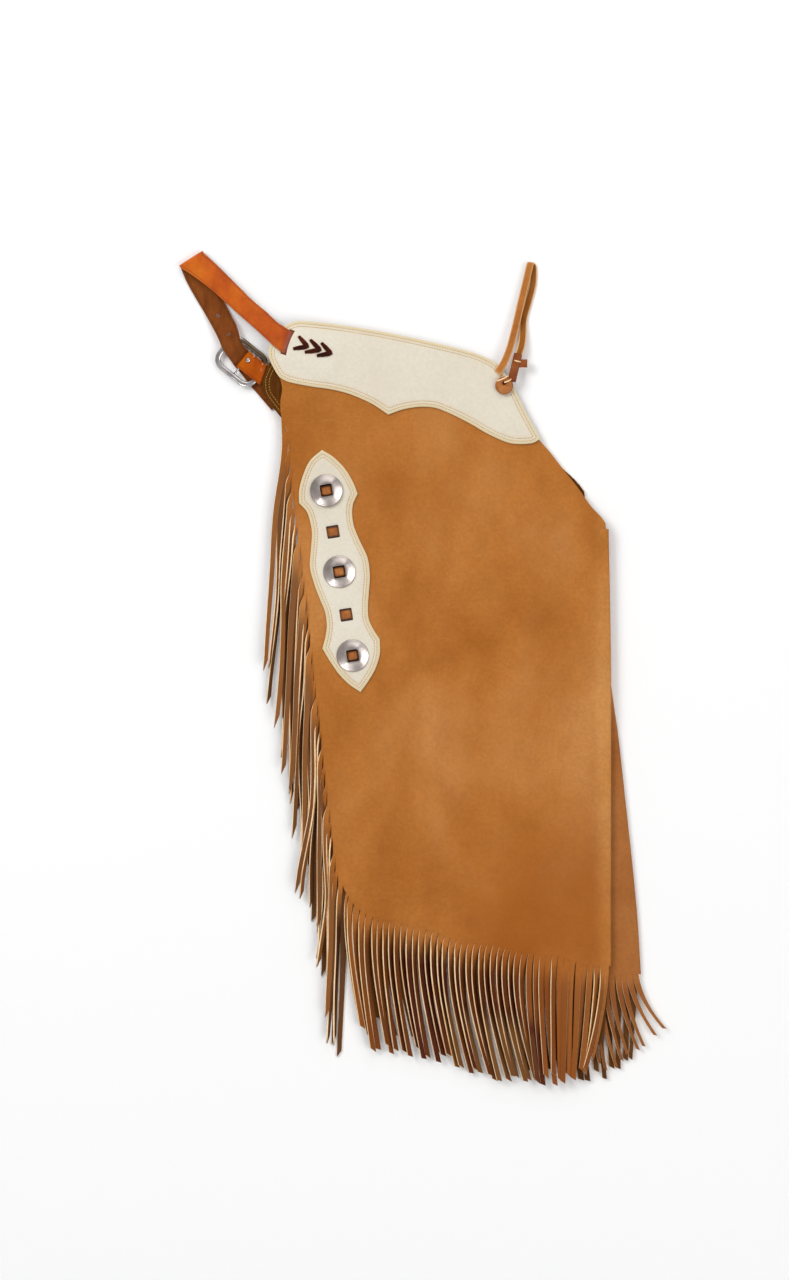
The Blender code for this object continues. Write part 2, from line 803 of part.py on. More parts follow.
def hem_strands(roots, shapes, levels, level_side, dice):
    """Paths of strands that hang from a hem, one for each space between two root points."""
    paths = []
    count = len(roots) - 1
    for i in range(count):
        ax, ay, az = roots[i]
        bx, by, bz = roots[i + 1]
        length, bow, drift = at_share(shapes, (i + 0.5) / count)
        length *= dice.uniform(0.95, 1.05)
        low, lift = levels
        sway = 1.1 if lift else 0.4
        drift += dice.uniform(-sway, sway)
        rest = low + level_side(ax) + lift * (i % 2)
        path = []
        for share in HEM_SHARES:
            x = (ax + bx) / 2 + bow * math.sin(math.pi * share) + drift * share ** DRIFT_POWER
            y = (ay + by) / 2 - length * share
            half = (bx - ax) / 2 * mix(HEM_ROOT_SHARE, STRAND_END_SHRINK, share)
            height = mix((az + bz) / 2, rest, fade(share, (0.0, HEM_SHARES[1])))
            path.append(((x - half, y), (x + half, y), height))
        paths.append(path)
    return paths


def side_strands(roots, lengths, levels, dice):
    """Paths of strands slit steeply into the side edge, so that they hang beside each other."""
    paths = []
    count = len(roots) - 1
    for i in range(count):
        ax, ay, az = roots[i]
        bx, by, bz = roots[i + 1]
        length = mix(lengths[0], lengths[1], i / count) * dice.uniform(0.93, 1.04)
        lean = SIDE_LEAN + dice.uniform(-0.001, 0.001)
        rest = levels[i % len(levels)]
        narrow = bx - ax + SIDE_LEAN * (ay - by)
        even = mix(roots[0][0], roots[-1][0], (roots[0][1] - by) / (roots[0][1] - roots[-1][1]))
        path = []
        for depth in SIDE_TURNS + tuple(share * length for share in SIDE_SHARES):
            settled = fade(depth, SIDE_SETTLE)
            shrink = mix(1.0, STRAND_END_SHRINK, fade(depth / length, SIDE_SHARES[1:]))
            width = mix(narrow * SIDE_ROOT_SHARE, SIDE_WIDTH * shrink, settled)
            right = mix(bx - SIDE_SLIT, even, settled) - lean * depth
            height = mix((az + bz) / 2, rest, fade(depth, SIDE_TURNS[:2]))
            path.append(((right - width, by - depth), (right, by - depth), height))
        paths.append(path)
    return paths


def even_roots(edge, count, share, height):
    made = []
    for i in range(count + 1):
        x, y = at_share(edge, share(i / count))
        made.append((x, y, height(x, y) + WALL / 2))
    return made


def shifted(roots, dx, dy):
    return [(x + dx, y + dy, z) for x, y, z in roots]


def flap_roots(table, count, outer_bottom, flap_up):
    """Root points along the hem of a flap, from its free edge to the fold."""
    fold_x, fold_y = table[-1][1:]
    bend_x = fold_x - FOLD_RADIUS - WALL / 2
    level = outer_bottom(bend_x, fold_y) + WALL / 2 + flap_up * 2 * FOLD_RADIUS
    return [(mix(bend_x - FLAP_WIDTH, bend_x, i / count), fold_y, level) for i in range(count + 1)]


def side_fringe(name, table, first_row, count, height, levels, look, dice):
    down = lambda share: mix(first_row / LEG_ROWS, SIDE_END, share)
    roots = even_roots(drawn_side(table, first_row, 0.0), count, down, height)
    inner = even_roots(drawn_side(table, first_row, STRIP_WIDTH), count, down, height)
    fringe(name, roots, inner, side_strands(roots, SIDE_LENGTHS, levels, dice), look)


def hem_fringe(name, table, count, height, shapes, levels, level_side, look, dice):
    across = lambda share: min(max(share, HEM_ENDS[0]), HEM_ENDS[1])
    roots = even_roots(drawn_hem(table, 0.0), count, across, height)
    inner = even_roots(drawn_hem(table, STRIP_WIDTH), count, across, height)
    fringe(name, roots, inner, hem_strands(roots, shapes, levels, level_side, dice), look)


def flap_fringe(name, roots, shapes, levels, look, dice):
    paths = hem_strands(roots, shapes, levels, lambda x: 0.0, dice)
    fringe(name, roots, shifted(roots, 0, STRIP_WIDTH), paths, look)


def build_fringe():
    tan = "tan_leather"
    dice = random.Random(7)
    side_fringe(
        "near_side_fringe", NEAR_SIDE, NEAR_FIRST_ROW, NEAR_SIDE_STRANDS, near_leg_bottom,
        SIDE_LEVELS, tan, dice,
    )
    side_fringe(
        "far_side_fringe", FAR_SIDE, FAR_FIRST_ROW, FAR_SIDE_STRANDS, far_leg_bottom,
        FAR_SIDE_LEVELS, tan, dice,
    )
    hem_fringe(
        "near_hem_fringe", NEAR_HEM, NEAR_HEM_STRANDS, near_leg_bottom, NEAR_HEM_SHAPES,
        NEAR_HEM_LEVELS, lambda x: FLAP_STRANDS_LIFT * fade(x, FLAP_STRANDS_X), tan, dice,
    )
    hem_fringe(
        "far_hem_fringe", FAR_HEM, FAR_HEM_STRANDS, far_leg_bottom, FAR_HEM_SHAPES,
        FAR_HEM_LEVELS, lambda x: 0.0, tan, dice,
    )
    roots = flap_roots(NEAR_HEM, NEAR_FLAP_STRANDS, near_leg_bottom, -1)
    flap_fringe("near_flap_fringe", roots, NEAR_FLAP_SHAPES, NEAR_FLAP_LEVELS, tan, dice)
    roots = flap_roots(FAR_HEM, FAR_FLAP_STRANDS, far_leg_bottom, 1)
    flap_fringe("far_flap_fringe", roots, FAR_FLAP_SHAPES, FAR_FLAP_LEVELS, tan, dice)


# Plate, conchos and thongs


def plate_point(along, across):
    """From the plate's axis to the floor plan: along runs to the hem, across to the right."""
    x = PLATE_MIDDLE[0] + along * math.sin(PLATE_TILT) + across * math.cos(PLATE_TILT)
    y = PLATE_MIDDLE[1] - along * math.cos(PLATE_TILT) + across * math.sin(PLATE_TILT)
    return x, y


def plate_square(along, across, half):
    corners = ((-half, -half), (-half, half), (half, half), (half, -half))
    return [plate_point(along + a, across + b) for a, b in corners]


def plate_outline():
    right = [plate_point(a, r) for a, r, l in PLATE_SIDES]
    left = [plate_point(a, -l) for a, r, l in PLATE_SIDES[-2:0:-1]]
    return right + left


def plate_bottom(x, y):
    return near_leg_top(x, y) + GAP


def concho(name, along, look):
    """A domed disc round a square window, turned with the plate."""
    top = []
    for share, height in CONCHO_PROFILE:
        ring = []
        for k in range(CONCHO_SIDES):
            angle = 2 * math.pi * (k + 0.5) / CONCHO_SIDES
            c = math.cos(angle)
            s = math.sin(angle)
            square = CONCHO_WINDOW_HALF / max(abs(c), abs(s))
            reach = mix(CONCHO_RADIUS, square, share)
            x, y = plate_point(along + reach * s, WINDOW_ACROSS + reach * c)
            ring.append((x, y, height))
        top.append(ring)
    base = max(plate_bottom(x, y) for x, y, h in top[0]) + WALL + GAP
    points = [(px, py, base + CONCHO_WALL + h) for ring in top for px, py, h in ring]
    points += [(px, py, base + h) for ring in top for px, py, h in ring]
    back = len(top) * CONCHO_SIDES
    faces = []
    for r in range(len(top) - 1):
        for k in range(CONCHO_SIDES):
            a = r * CONCHO_SIDES + k
            b = r * CONCHO_SIDES + (k + 1) % CONCHO_SIDES
            quad = (a, b, b + CONCHO_SIDES, a + CONCHO_SIDES)
            faces.append(quad)
            faces.append(tuple(back + i for i in reversed(quad)))
    for first in (0, (len(top) - 1) * CONCHO_SIDES):
        for k in range(CONCHO_SIDES):
            a = first + k
            b = first + (k + 1) % CONCHO_SIDES
            faces.append((a, b, back + b, back + a))
    return new_object(name, points, faces, look)


def thong(name, along, look):
    """The stretch of thong that shows in a window, bulging between its two edges."""
    grid = []
    steps = 6
    for i in range(steps + 1):
        share = i / steps
        row = []
        for side in (-1, 0, 1):
            x, y = plate_point(
                along + mix(-THONG_HALF_LENGTH, THONG_HALF_LENGTH, share),
                WINDOW_ACROSS + side * THONG_HALF_WIDTH,
            )
            height = plate_bottom(x, y) + THONG_WALL / 2 + THONG_BULGE * math.sin(math.pi * share)
            row.append(Vector((x, y, height)))
        grid.append(row)
    return wall(name, grid, THONG_WALL, look)


def build_plate():
    windows = [plate_square(a, WINDOW_ACROSS, WINDOW_HALF) for a in CONCHO_ALONG + WINDOW_ALONG]
    flat_piece(
        "near_plate", plate_outline(), windows, PLATE_SPACING, plate_bottom, WALL,
        "cream_leather",
    )
    for i, along in enumerate(CONCHO_ALONG):
        concho(f"concho_{i + 1}", along, "steel")
    for i, along in enumerate(sorted(CONCHO_ALONG + WINDOW_ALONG)):
        thong(f"thong_{i + 1}", along, "tan_leather")


# Yokes and lacing


def slot_point(inward, along):
    x = SLOT_MIDDLE[0] + inward * SLOT_IN[0] - along * SLOT_IN[1]
    y = SLOT_MIDDLE[1] + inward * SLOT_IN[1] + along * SLOT_IN[0]
    return x, y


def slot_hole():
    w = SLOT_HALF_WIDTH
    h = SLOT_HALF_LENGTH
    return [slot_point(*corner) for corner in ((-w, -h), (w, -h), (w, h), (-w, h))]


def tongue_creases():
    """Lines round the belt's tongue, where the yoke over it begins and ends to come down."""
    made = []
    start = 2 * SLOT_HALF_WIDTH
    for margin in (0.0, TONGUE_FADE):
        half = SLOT_HALF_LENGTH + margin
        end = TONGUE_LENGTH + margin
        corners = [(start, -half), (end, -half), (end, half), (start, half)]
        line = []
        for (ax, ay), (bx, by) in zip(corners, corners[1:]):
            steps = math.ceil(math.dist((ax, ay), (bx, by)) / YOKE_SPACING)
            shares = [i / steps for i in range(steps)]
            line += [slot_point(mix(ax, bx, share), mix(ay, by, share)) for share in shares]
        made.append(line + [slot_point(*corners[-1])])
    return made


def arrow(name, upper, tip, lower, look):
    """Two strokes of lacing that meet at a point, as one piece."""
    half = ARROW_WIDTH / 2
    ends = [Vector(upper), Vector(tip), Vector(lower)]
    first = (ends[1] - ends[0]).normalized()
    second = (ends[2] - ends[1]).normalized()
    first_side = Vector((-first.y, first.x)) * half
    second_side = Vector((-second.y, second.x)) * half
    corner = (first_side + second_side).normalized() * half
    corner *= half / corner.dot(first_side / half) if corner.length else 1.0
    outline = [
        ends[0] + first_side, ends[1] + corner, ends[2] + second_side,
        ends[2] - second_side, ends[1] - corner, ends[0] - first_side,
    ]
    flat_piece(
        name, [tuple(p) for p in outline], [], ARROW_WIDTH * 3,
        lambda x, y: near_yoke_top(x, y) + GAP, ARROW_WALL, look,
    )


def build_yokes():
    cream = "cream_leather"
    flat_piece(
        "near_yoke", NEAR_YOKE, [slot_hole()], YOKE_SPACING, near_yoke_bottom, WALL, cream,
        tongue_creases(),
    )
    flat_piece("far_yoke", FAR_YOKE, [], YOKE_SPACING, belt_rise, WALL, cream)
    for i, (upper, tip, lower) in enumerate(ARROWS):
        arrow(f"lacing_{i + 1}", upper, tip, lower, "dark_lacing")


# Belt and buckle


def belt_stations():
    turn = []
    left_x, left_y, right_x, right_y = BELT_FOLD
    for k in range(FOLD_STEPS + 1):
        angle = math.pi * k / FOLD_STEPS
        out = BELT_FOLD_RADIUS * math.sin(angle)
        height = BELT_FOLD_TOP - BELT_FOLD_RADIUS * (1 - math.cos(angle))
        dx = out * BELT_FOLD_OUT[0]
        dy = out * BELT_FOLD_OUT[1]
        turn.append((left_x + dx, left_y + dy, right_x + dx, right_y + dy, height))
    swapped = [(rx, ry, lx, ly, z) for lx, ly, rx, ry, z in BELT_START]
    turned = [(rx, ry, lx, ly, z) for lx, ly, rx, ry, z in turn + list(BELT_END)]
    return swapped + turned


def buckle_point(along, across, height):
    x = BUCKLE_MIDDLE[0] + along * BUCKLE_ALONG[0] + across * BUCKLE_ACROSS[0]
    y = BUCKLE_MIDDLE[1] + along * BUCKLE_ALONG[1] + across * BUCKLE_ACROSS[1]
    return Vector((x, y, height))


def buckle_frame_path():
    path = []
    corner_steps = 4
    for turn in range(4):
        sign_along = (1, -1, -1, 1)[turn]
        sign_across = (1, 1, -1, -1)[turn]
        for k in range(corner_steps + 1):
            angle = math.radians(90 * (turn + k / corner_steps))
            along = sign_along * (BUCKLE_HALF_LENGTH - BUCKLE_CORNER)
            across = sign_across * (BUCKLE_HALF_WIDTH - BUCKLE_CORNER)
            along += BUCKLE_CORNER * math.cos(angle)
            across += BUCKLE_CORNER * math.sin(angle)
            path.append(buckle_point(along, across, BUCKLE_HEIGHT))
    return path


def billet_stations():
    """From the end of the turned-back part, round the bar, to the end under the far yoke."""
    radius = BUCKLE_BAR_RADIUS + GAP + STRAP_WALL / 2
    low, high = BILLET_UPPER_LENGTH
    rows = [(low * s, high * s, BUCKLE_HEIGHT + radius) for s in (1.0, 0.66, 0.33)]
    for k in range(FOLD_STEPS + 1):
        angle = math.pi * k / FOLD_STEPS
        out = -radius * math.sin(angle)
        rows.append((out, out, BUCKLE_HEIGHT + radius * math.cos(angle)))
    for share in (0.25, 0.5, 0.75, 1.0):
        out = BILLET_LOWER_LENGTH * share
        rows.append((out, out, BUCKLE_HEIGHT - radius))
    stations = []
    for low_out, high_out, height in rows:
        left = buckle_point(BUCKLE_BAR_ALONG + low_out, BILLET_ACROSS[0], height)
        right = buckle_point(BUCKLE_BAR_ALONG + high_out, BILLET_ACROSS[1], height)
        stations.append((left.x, left.y, right.x, right.y, height))
    return stations


def rivet(look):
    x, y, radius, rise = RIVET
    base = BUCKLE_HEIGHT + BUCKLE_BAR_RADIUS + GAP + STRAP_WALL + GAP
    rings = ((0.0, 1.0), (0.35, 0.95), (0.75, 0.6))
    sides = 12
    points = []
    for height, share in rings:
        for k in range(sides):
            angle = 2 * math.pi * k / sides
            reach = radius * share
            point = (x + reach * math.cos(angle), y + reach * math.sin(angle), base + rise * height)
            points.append(point)
    points.append((x, y, base + rise))
    faces = [tuple(range(sides))]
    for r in range(len(rings) - 1):
        for k in range(sides):
            a = r * sides + k
            b = r * sides + (k + 1) % sides
            faces.append((a, b, b + sides, a + sides))
    last = (len(rings) - 1) * sides
    for k in range(sides):
        faces.append((last + k, last + (k + 1) % sides, len(points) - 1))
    return new_object("rivet", points, faces, look)


def build_belt():
    ribbon("belt", belt_stations(), 4, STRAP_WALL, "orange_leather")
    ribbon("billet", billet_stations(), 3, STRAP_WALL, "orange_leather")
    tube("buckle_frame", buckle_frame_path(), *BUCKLE_ROD, 8, "steel", True)
    reach = BUCKLE_HALF_WIDTH - BUCKLE_ROD[0] - GAP
    bar = [buckle_point(BUCKLE_BAR_ALONG, side * reach, BUCKLE_HEIGHT) for side in (-1, 0, 1)]
    tube("buckle_bar", bar, BUCKLE_BAR_RADIUS, BUCKLE_BAR_RADIUS, 8, "steel", False)
    rivet("steel")


# Waist lace


def build_lace():
    tan = "tan_leather"
    ribbon("lace", LACE_FRONT + LACE_FOLD + LACE_BACK, 3, LACE_WALL, tan)
    upper = Vector(KEEPER_ENDS[1])
    lower = Vector(KEEPER_ENDS[0])
    tube("lace_keeper", [lower, lower.lerp(upper, 0.5), upper], *KEEPER_HALF, 10, tan, False)
    ring = []
    for k in range(KNOT_STEPS):
        angle = 2 * math.pi * k / KNOT_STEPS
        out = Vector((math.cos(angle), math.sin(angle), 0)) * KNOT_RADIUS
        ring.append(Vector(KNOT_MIDDLE) + out)
    tube("lace_knot", ring, *KNOT_HALF, 8, tan, True)
    signs = [Vector((a, b, c)) for a in (-1, 1) for b in (-1, 1) for c in (-1, 1)]
    corners = [Vector(STUB_MIDDLE) + sign * Vector(STUB_HALF) for sign in signs]
    faces = [(0, 1, 3, 2), (4, 6, 7, 5), (0, 4, 5, 1), (2, 3, 7, 6), (0, 2, 6, 4), (1, 5, 7, 3)]
    new_object("lace_stub", corners, faces, tan, smooth=False)


def build():
    clear_scene()
    new_root()
    tan = "tan_leather"
    near_edges = (NEAR_TOP, NEAR_FOLD, NEAR_SIDE, NEAR_HEM)
    far_edges = (FAR_TOP, FAR_FOLD, FAR_SIDE, FAR_HEM)
    leg("near_leg", near_edges, NEAR_FIRST_ROW, near_leg_bottom, -1, tan)
    leg("far_leg", far_edges, FAR_FIRST_ROW, far_leg_bottom, 1, tan)
    build_yokes()
    build_plate()
    build_belt()
    build_lace()
    build_fringe()


build()
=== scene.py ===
import math
import random

import bmesh
import bpy
import numpy as np
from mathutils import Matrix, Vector, noise
from mathutils.geometry import delaunay_2d_cdt


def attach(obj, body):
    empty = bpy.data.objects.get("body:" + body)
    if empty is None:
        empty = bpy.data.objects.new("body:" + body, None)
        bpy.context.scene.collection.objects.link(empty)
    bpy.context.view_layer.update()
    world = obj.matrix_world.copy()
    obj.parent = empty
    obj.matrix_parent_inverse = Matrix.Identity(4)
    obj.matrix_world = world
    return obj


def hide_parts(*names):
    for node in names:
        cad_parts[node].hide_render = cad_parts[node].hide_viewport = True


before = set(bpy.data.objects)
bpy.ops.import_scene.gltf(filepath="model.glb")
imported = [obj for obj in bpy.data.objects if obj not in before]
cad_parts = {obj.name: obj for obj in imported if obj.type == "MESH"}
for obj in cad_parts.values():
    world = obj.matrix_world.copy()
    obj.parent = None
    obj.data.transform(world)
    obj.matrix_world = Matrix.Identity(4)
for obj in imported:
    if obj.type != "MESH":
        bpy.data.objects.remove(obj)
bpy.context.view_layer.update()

MM = 0.001
SHIFT = Vector((0.6, 0.1, 0.0))

# Camera: straight above, at the photograph's viewing angle
CAMERA_X = -33.9
CAMERA_Y = 32.8
CAMERA_HEIGHT = 3000.0
FRAME_HEIGHT = 1472.0

# Leather and the space between the layers
WALL = 2.0
STRAP_WALL = 1.8
STRAND_WALL = 1.7
THONG_WALL = 1.6
GAP = 0.35
LEG_GAP = 0.9
YOKE_GAP = 0.55
FLAP_SPRING = 2.0
FOLD_RADIUS = (FLAP_SPRING + WALL) / 2
FLAP_WIDTH = 60.0
FLAP_SLANT = 45.0
FLAPS_RISE = 3 * WALL + FLAP_SPRING + GAP + FLAP_SPRING - LEG_GAP
BELT_LAYERS = 2 * (STRAP_WALL + GAP)
BELT_SIDE_X = (-158.0, -50.0)
BELT_SIDE_Y = (180.0, 288.0)
YOKE_LINE = (-170.0, 286.0, -0.176)
YOKE_RAMP = 100.0
FLAP_SIDE_X = (30.0, 128.0)
FLAP_SIDE_Y = (150.0, 232.0)

# Slot in the near yoke and the belt's tongue under it
SLOT_MIDDLE = (-156.5, 374.5)
SLOT_IN = (0.94, -0.342)
SLOT_HALF_LENGTH = 15.0
SLOT_HALF_WIDTH = 3.6
TONGUE_LENGTH = 54.0
TONGUE_FADE = 16.0

# Edges of the near leg. Columns: share of the edge, x, y
NEAR_TOP = (
    (0.00, -173, 358), (0.03, -168, 377), (0.08, -144, 395), (0.18, -106, 392), (0.33, -47, 383),
    (0.51, 23, 368), (0.61, 62, 357), (0.67, 83, 345), (0.715, 99, 320), (0.755, 113, 293),
    (0.80, 132, 264), (0.83, 144, 250), (0.875, 161, 228), (0.91, 176, 209), (0.95, 192, 186),
    (0.98, 205, 172), (1.00, 212, 160),
)
NEAR_FOLD = ((0.00, 212, 160), (0.19, 214, 66), (0.34, 215, -11), (1.00, 215, -341))
NEAR_SIDE = (
    (0.00, -173, 358), (0.03, -170, 341), (0.05, -165, 332), (0.07, -163, 320), (0.09, -165, 308),
    (0.12, -164, 290), (0.15, -156, 270), (0.25, -150, 206), (0.39, -139, 121), (0.55, -128, 21),
    (0.73, -116, -88), (0.89, -105, -188), (0.96, -99, -231), (1.00, -92, -254),
)
NEAR_HEM = (
    (0.00, -92, -254), (0.03, -85, -265), (0.06, -75, -277), (0.12, -55, -287), (0.23, -22, -293),
    (0.34, 13, -303), (0.45, 47, -315), (0.56, 82, -318), (0.67, 115, -326), (0.79, 151, -329),
    (0.90, 185, -339), (1.00, 215, -341),
)
# Edges of the far leg
FAR_TOP = (
    (0.00, -168, 366), (0.05, -150, 383), (0.17, -106, 386), (0.33, -47, 377), (0.53, 23, 362),
    (0.63, 60, 350), (0.69, 80, 338), (0.75, 98, 316), (0.80, 112, 289), (0.85, 128, 260),
    (0.93, 161, 229), (0.97, 175, 216), (0.99, 185, 203), (1.00, 189, 191),
)
FAR_FOLD = (
    (0.00, 189, 191), (0.18, 202, 90), (0.39, 216, -21), (0.50, 224, -79), (0.61, 231, -142),
    (0.78, 241, -234), (0.88, 246, -288), (1.00, 250, -352),
)
FAR_SIDE = (
    (0.00, -168, 366), (0.025, -178, 351), (0.05, -185, 336), (0.07, -186, 326), (0.09, -184, 315),
    (0.11, -176, 303), (0.13, -168, 293), (0.16, -157, 279), (0.20, -145, 255), (0.41, -132, 121),
    (0.56, -121, 21), (0.73, -109, -88), (0.88, -98, -188), (1.00, -86, -264),
)
FAR_HEM = (
    (0.00, -86, -264), (0.08, -60, -291), (0.30, 18, -312), (0.58, 110, -331), (0.86, 205, -346),
    (1.00, 250, -352),
)

# Outlines of the yokes. Columns: x, y, whether the outline turns sharply there
NEAR_YOKE = (
    (-176, 374, 0), (-168, 387, 0), (-159, 394, 0), (-144, 399, 0), (-106, 396, 0), (-47, 387, 0),
    (23, 372, 0), (63, 361, 0), (85, 349, 0), (103, 323, 0), (117, 295, 0), (134, 264, 1),
    (124, 259, 0), (100, 259, 0), (75, 269, 0), (56, 280, 0), (41, 288, 0), (26, 295, 0),
    (12, 300, 0), (-5, 301, 0), (-24, 298, 0), (-41, 292, 1), (-61, 305, 0), (-87, 316, 0),
    (-108, 321, 0), (-130, 324, 0), (-155, 329, 0), (-165, 334, 0), (-171, 342, 0), (-178, 358, 0),
)
FAR_YOKE = (
    (-168, 366, 0), (-150, 383, 0), (-106, 386, 0), (-47, 377, 0), (23, 362, 0), (60, 350, 0),
    (80, 338, 0), (98, 316, 0), (112, 289, 0), (128, 260, 0), (138, 250, 1), (120, 245, 0),
    (100, 245, 0), (75, 254, 0), (41, 273, 0), (12, 283, 0), (-5, 284, 0), (-24, 280, 0),
    (-41, 274, 1), (-61, 285, 0), (-87, 293, 0), (-130, 297, 0), (-165, 298, 0), (-176, 303, 0),
    (-184, 315, 0), (-186, 326, 0), (-185, 336, 0), (-178, 351, 0),
)

# The plate. Columns: distance along its axis, reach to the right, reach to the left, sharp or not
PLATE_MIDDLE = (-95.2, 112.1)
PLATE_TILT = math.radians(9.04)
PLATE_SIDES = (
    (-140.9, 0.0, 0.0, 1), (-131.0, 11.5, 15.3, 0), (-116.0, 22.4, 25.8, 0), (-99.0, 29.4, 33.3, 0),
    (-85.0, 32.6, 35.6, 1), (-74.0, 25.5, 28.5, 0), (-63.0, 22.7, 26.5, 0), (-48.5, 22.6, 26.4, 0),
    (-31.0, 26.6, 30.3, 0), (-10.4, 32.3, 34.8, 0), (10.0, 31.8, 33.0, 0), (28.5, 27.7, 29.2, 0),
    (44.0, 24.2, 25.7, 0), (59.0, 22.6, 26.2, 0), (72.0, 26.0, 29.9, 0), (84.5, 31.5, 35.4, 1),
    (101.0, 28.9, 28.8, 0), (117.0, 21.2, 21.0, 0), (130.0, 10.8, 11.6, 0), (140.9, 0.0, 0.0, 1),
)
CONCHO_ALONG = (-94.1, 0.5, 98.1)
WINDOW_ALONG = (-46.1, 50.5)
WINDOW_ACROSS = -2.3
WINDOW_HALF = 7.2
CONCHO_RADIUS = 18.65
CONCHO_WINDOW_HALF = 6.9
# Columns: share from rim to window, height of the top over the rim's foot
CONCHO_SHAPE = (
    (0.00, 0.0), (0.01, 0.7), (0.05, 1.15), (0.12, 1.3), (0.30, 2.0), (0.55, 3.1), (0.80, 3.9),
    (0.93, 4.15), (0.99, 4.0), (1.00, 3.4),
)

ARROWS = (
    ((-143.8, 381.2), (-133.6, 369.4), (-150.1, 366.7)),
    ((-130.6, 377.3), (-119.4, 365.6), (-136.8, 362.8)),
    ((-117.8, 373.7), (-106.9, 361.8), (-123.0, 358.8)),
)

# The belt. Columns: left edge x, y, right edge x, y, what it lies on or its middle height
BELT_START = (
    (-116.9, 347.4, -107.6, 372.9, "leg"), (-128.6, 351.6, -119.3, 377.1, "leg"),
    (-140.3, 355.9, -131.0, 381.4, "leg"), (-151.0, 358.4, -141.7, 383.9, "leg"),
    (-158.4, 360.7, -149.1, 386.3, "leg"), (-163.9, 362.9, -154.6, 388.4, "yoke"),
    (-170.5, 368.5, -161.0, 392.5, "yoke"), (-178.0, 375.0, -168.0, 397.0, "yoke"),
    (-195.0, 391.0, -181.0, 409.5, 13.6), (-211.0, 405.0, -197.0, 423.0, 12.3),
    (-226.0, 418.5, -212.0, 438.0, 11.0), (-243.0, 434.0, -227.0, 453.0, 9.8),
    (-261.0, 448.0, -240.0, 466.0, 8.7), (-272.5, 456.0, -247.5, 472.8, 8.1),
)
BELT_FOLD = (-279.7, 460.4, -252.7, 477.4)
BELT_FOLD_OUT = (-0.533, 0.846)
BELT_FOLD_TOP = 8.0
BELT_FOLD_RADIUS = 3.35
BELT_END = (
    (-275.5, 450.0, -248.0, 462.0, 1.3), (-270.0, 439.0, -243.0, 448.0, 1.3),
    (-262.0, 425.0, -235.5, 433.0, 1.3), (-253.0, 410.0, -228.0, 418.0, 2.2),
    (-243.0, 392.0, -220.0, 403.0, 5.4), (-237.0, 380.5, -216.0, 396.0, 8.4),
    (-232.0, 368.5, -213.0, 386.0, 8.8), (-226.5, 360.0, -210.5, 375.5, 8.3),
    (-221.5, 353.0, -206.0, 369.5, 4.6), (-217.5, 347.5, -201.0, 365.5, 1.6),
    (-212.0, 341.5, -194.5, 360.0, 1.2), (-204.5, 331.5, -186.0, 351.0, 1.2),
    (-190.0, 314.5, -172.0, 333.5, 1.2), (-175.5, 297.5, -158.0, 314.5, 1.2),
)
# Holes in the far run. Columns: x, y, radius
BELT_HOLES = ((-236.9, 406.5, 2.2), (-224.3, 384.1, 2.2))

BUCKLE_MIDDLE = (-210.0, 353.4)
BUCKLE_ALONG = (0.783, -0.622)
BUCKLE_ACROSS = (0.622, 0.783)
BUCKLE_HALF_LENGTH = 25.4
BUCKLE_HALF_WIDTH = 19.5
BUCKLE_CORNER = 12.0
BUCKLE_ROD = (3.3, 1.7)
BUCKLE_HEIGHT = 5.8
BUCKLE_BAR_RADIUS = 1.3
BUCKLE_BAR_ALONG = 2.6
BILLET_ACROSS = (-8.5, 14.6)
BILLET_UPPER_LENGTH = (32.0, 23.5)
BILLET_LOWER_LENGTH = 47.0
RIVET = (-202.4, 354.2)
# Copper tacks in the billet. Columns: x, y
TACKS = ((-196.0, 358.9), (-185.9, 350.1), (-187.5, 343.3))

# The waist lace. Columns: left edge x, y, right edge x, y, middle height
LACE_FRONT = (
    (81.0, 342.5, 87.6, 336.5, 11.2), (88.0, 353.0, 95.0, 348.0, 11.2),
    (94.0, 367.0, 101.5, 364.0, 10.5), (100.5, 391.0, 108.5, 388.5, 8.4),
    (107.0, 419.0, 115.2, 417.5, 6.9), (113.5, 446.0, 121.5, 445.0, 5.7),
    (117.6, 463.5, 125.8, 462.7, 5.2),
)
LACE_FOLD = (
    (118.5, 466.5, 126.6, 465.7, 4.7), (119.8, 467.5, 127.9, 466.4, 3.2),
    (121.2, 466.5, 129.3, 465.3, 1.7),
)
LACE_BACK = (
    (122.3, 460.5, 130.4, 459.5, 1.2), (121.5, 443.5, 129.6, 442.5, 1.2),
    (115.8, 421.5, 124.0, 420.0, 1.2), (110.8, 402.5, 119.0, 401.8, 2.0),
    (109.6, 382.5, 117.8, 382.0, 5.2), (107.8, 371.0, 116.0, 369.5, 8.0),
    (105.0, 361.8, 112.8, 360.2, 9.6),
)
LACE_WALL = 1.6
KEEPER_ENDS = ((100.6, 329.8, 13.3), (108.2, 361.5, 10.4))
KEEPER_HALF = (4.9, 2.9)
STUB_MIDDLE = (113.6, 350.5, 11.0)
STUB_HALF = (5.0, 4.6, 1.8)
KNOT_MIDDLE = (92.0, 325.0, 12.8)
KNOT_RADIUS = 6.1
KNOT_HALF = (4.3, 2.5)
KNOT_HOLE_UP = 3.0
# Pale cut ends on the knot. Columns: start x, y, z, end x, y, z, and how high it arches
KNOT_BANDS = (
    ((83.2, 330.0, 14.6), (96.6, 335.8, 14.8), 0.6),
    ((92.0, 328.2, 15.4), (101.0, 332.8, 15.2), 0.7),
    ((101.9, 354.6, 11.6), (111.2, 352.2, 11.4), 2.8),
)

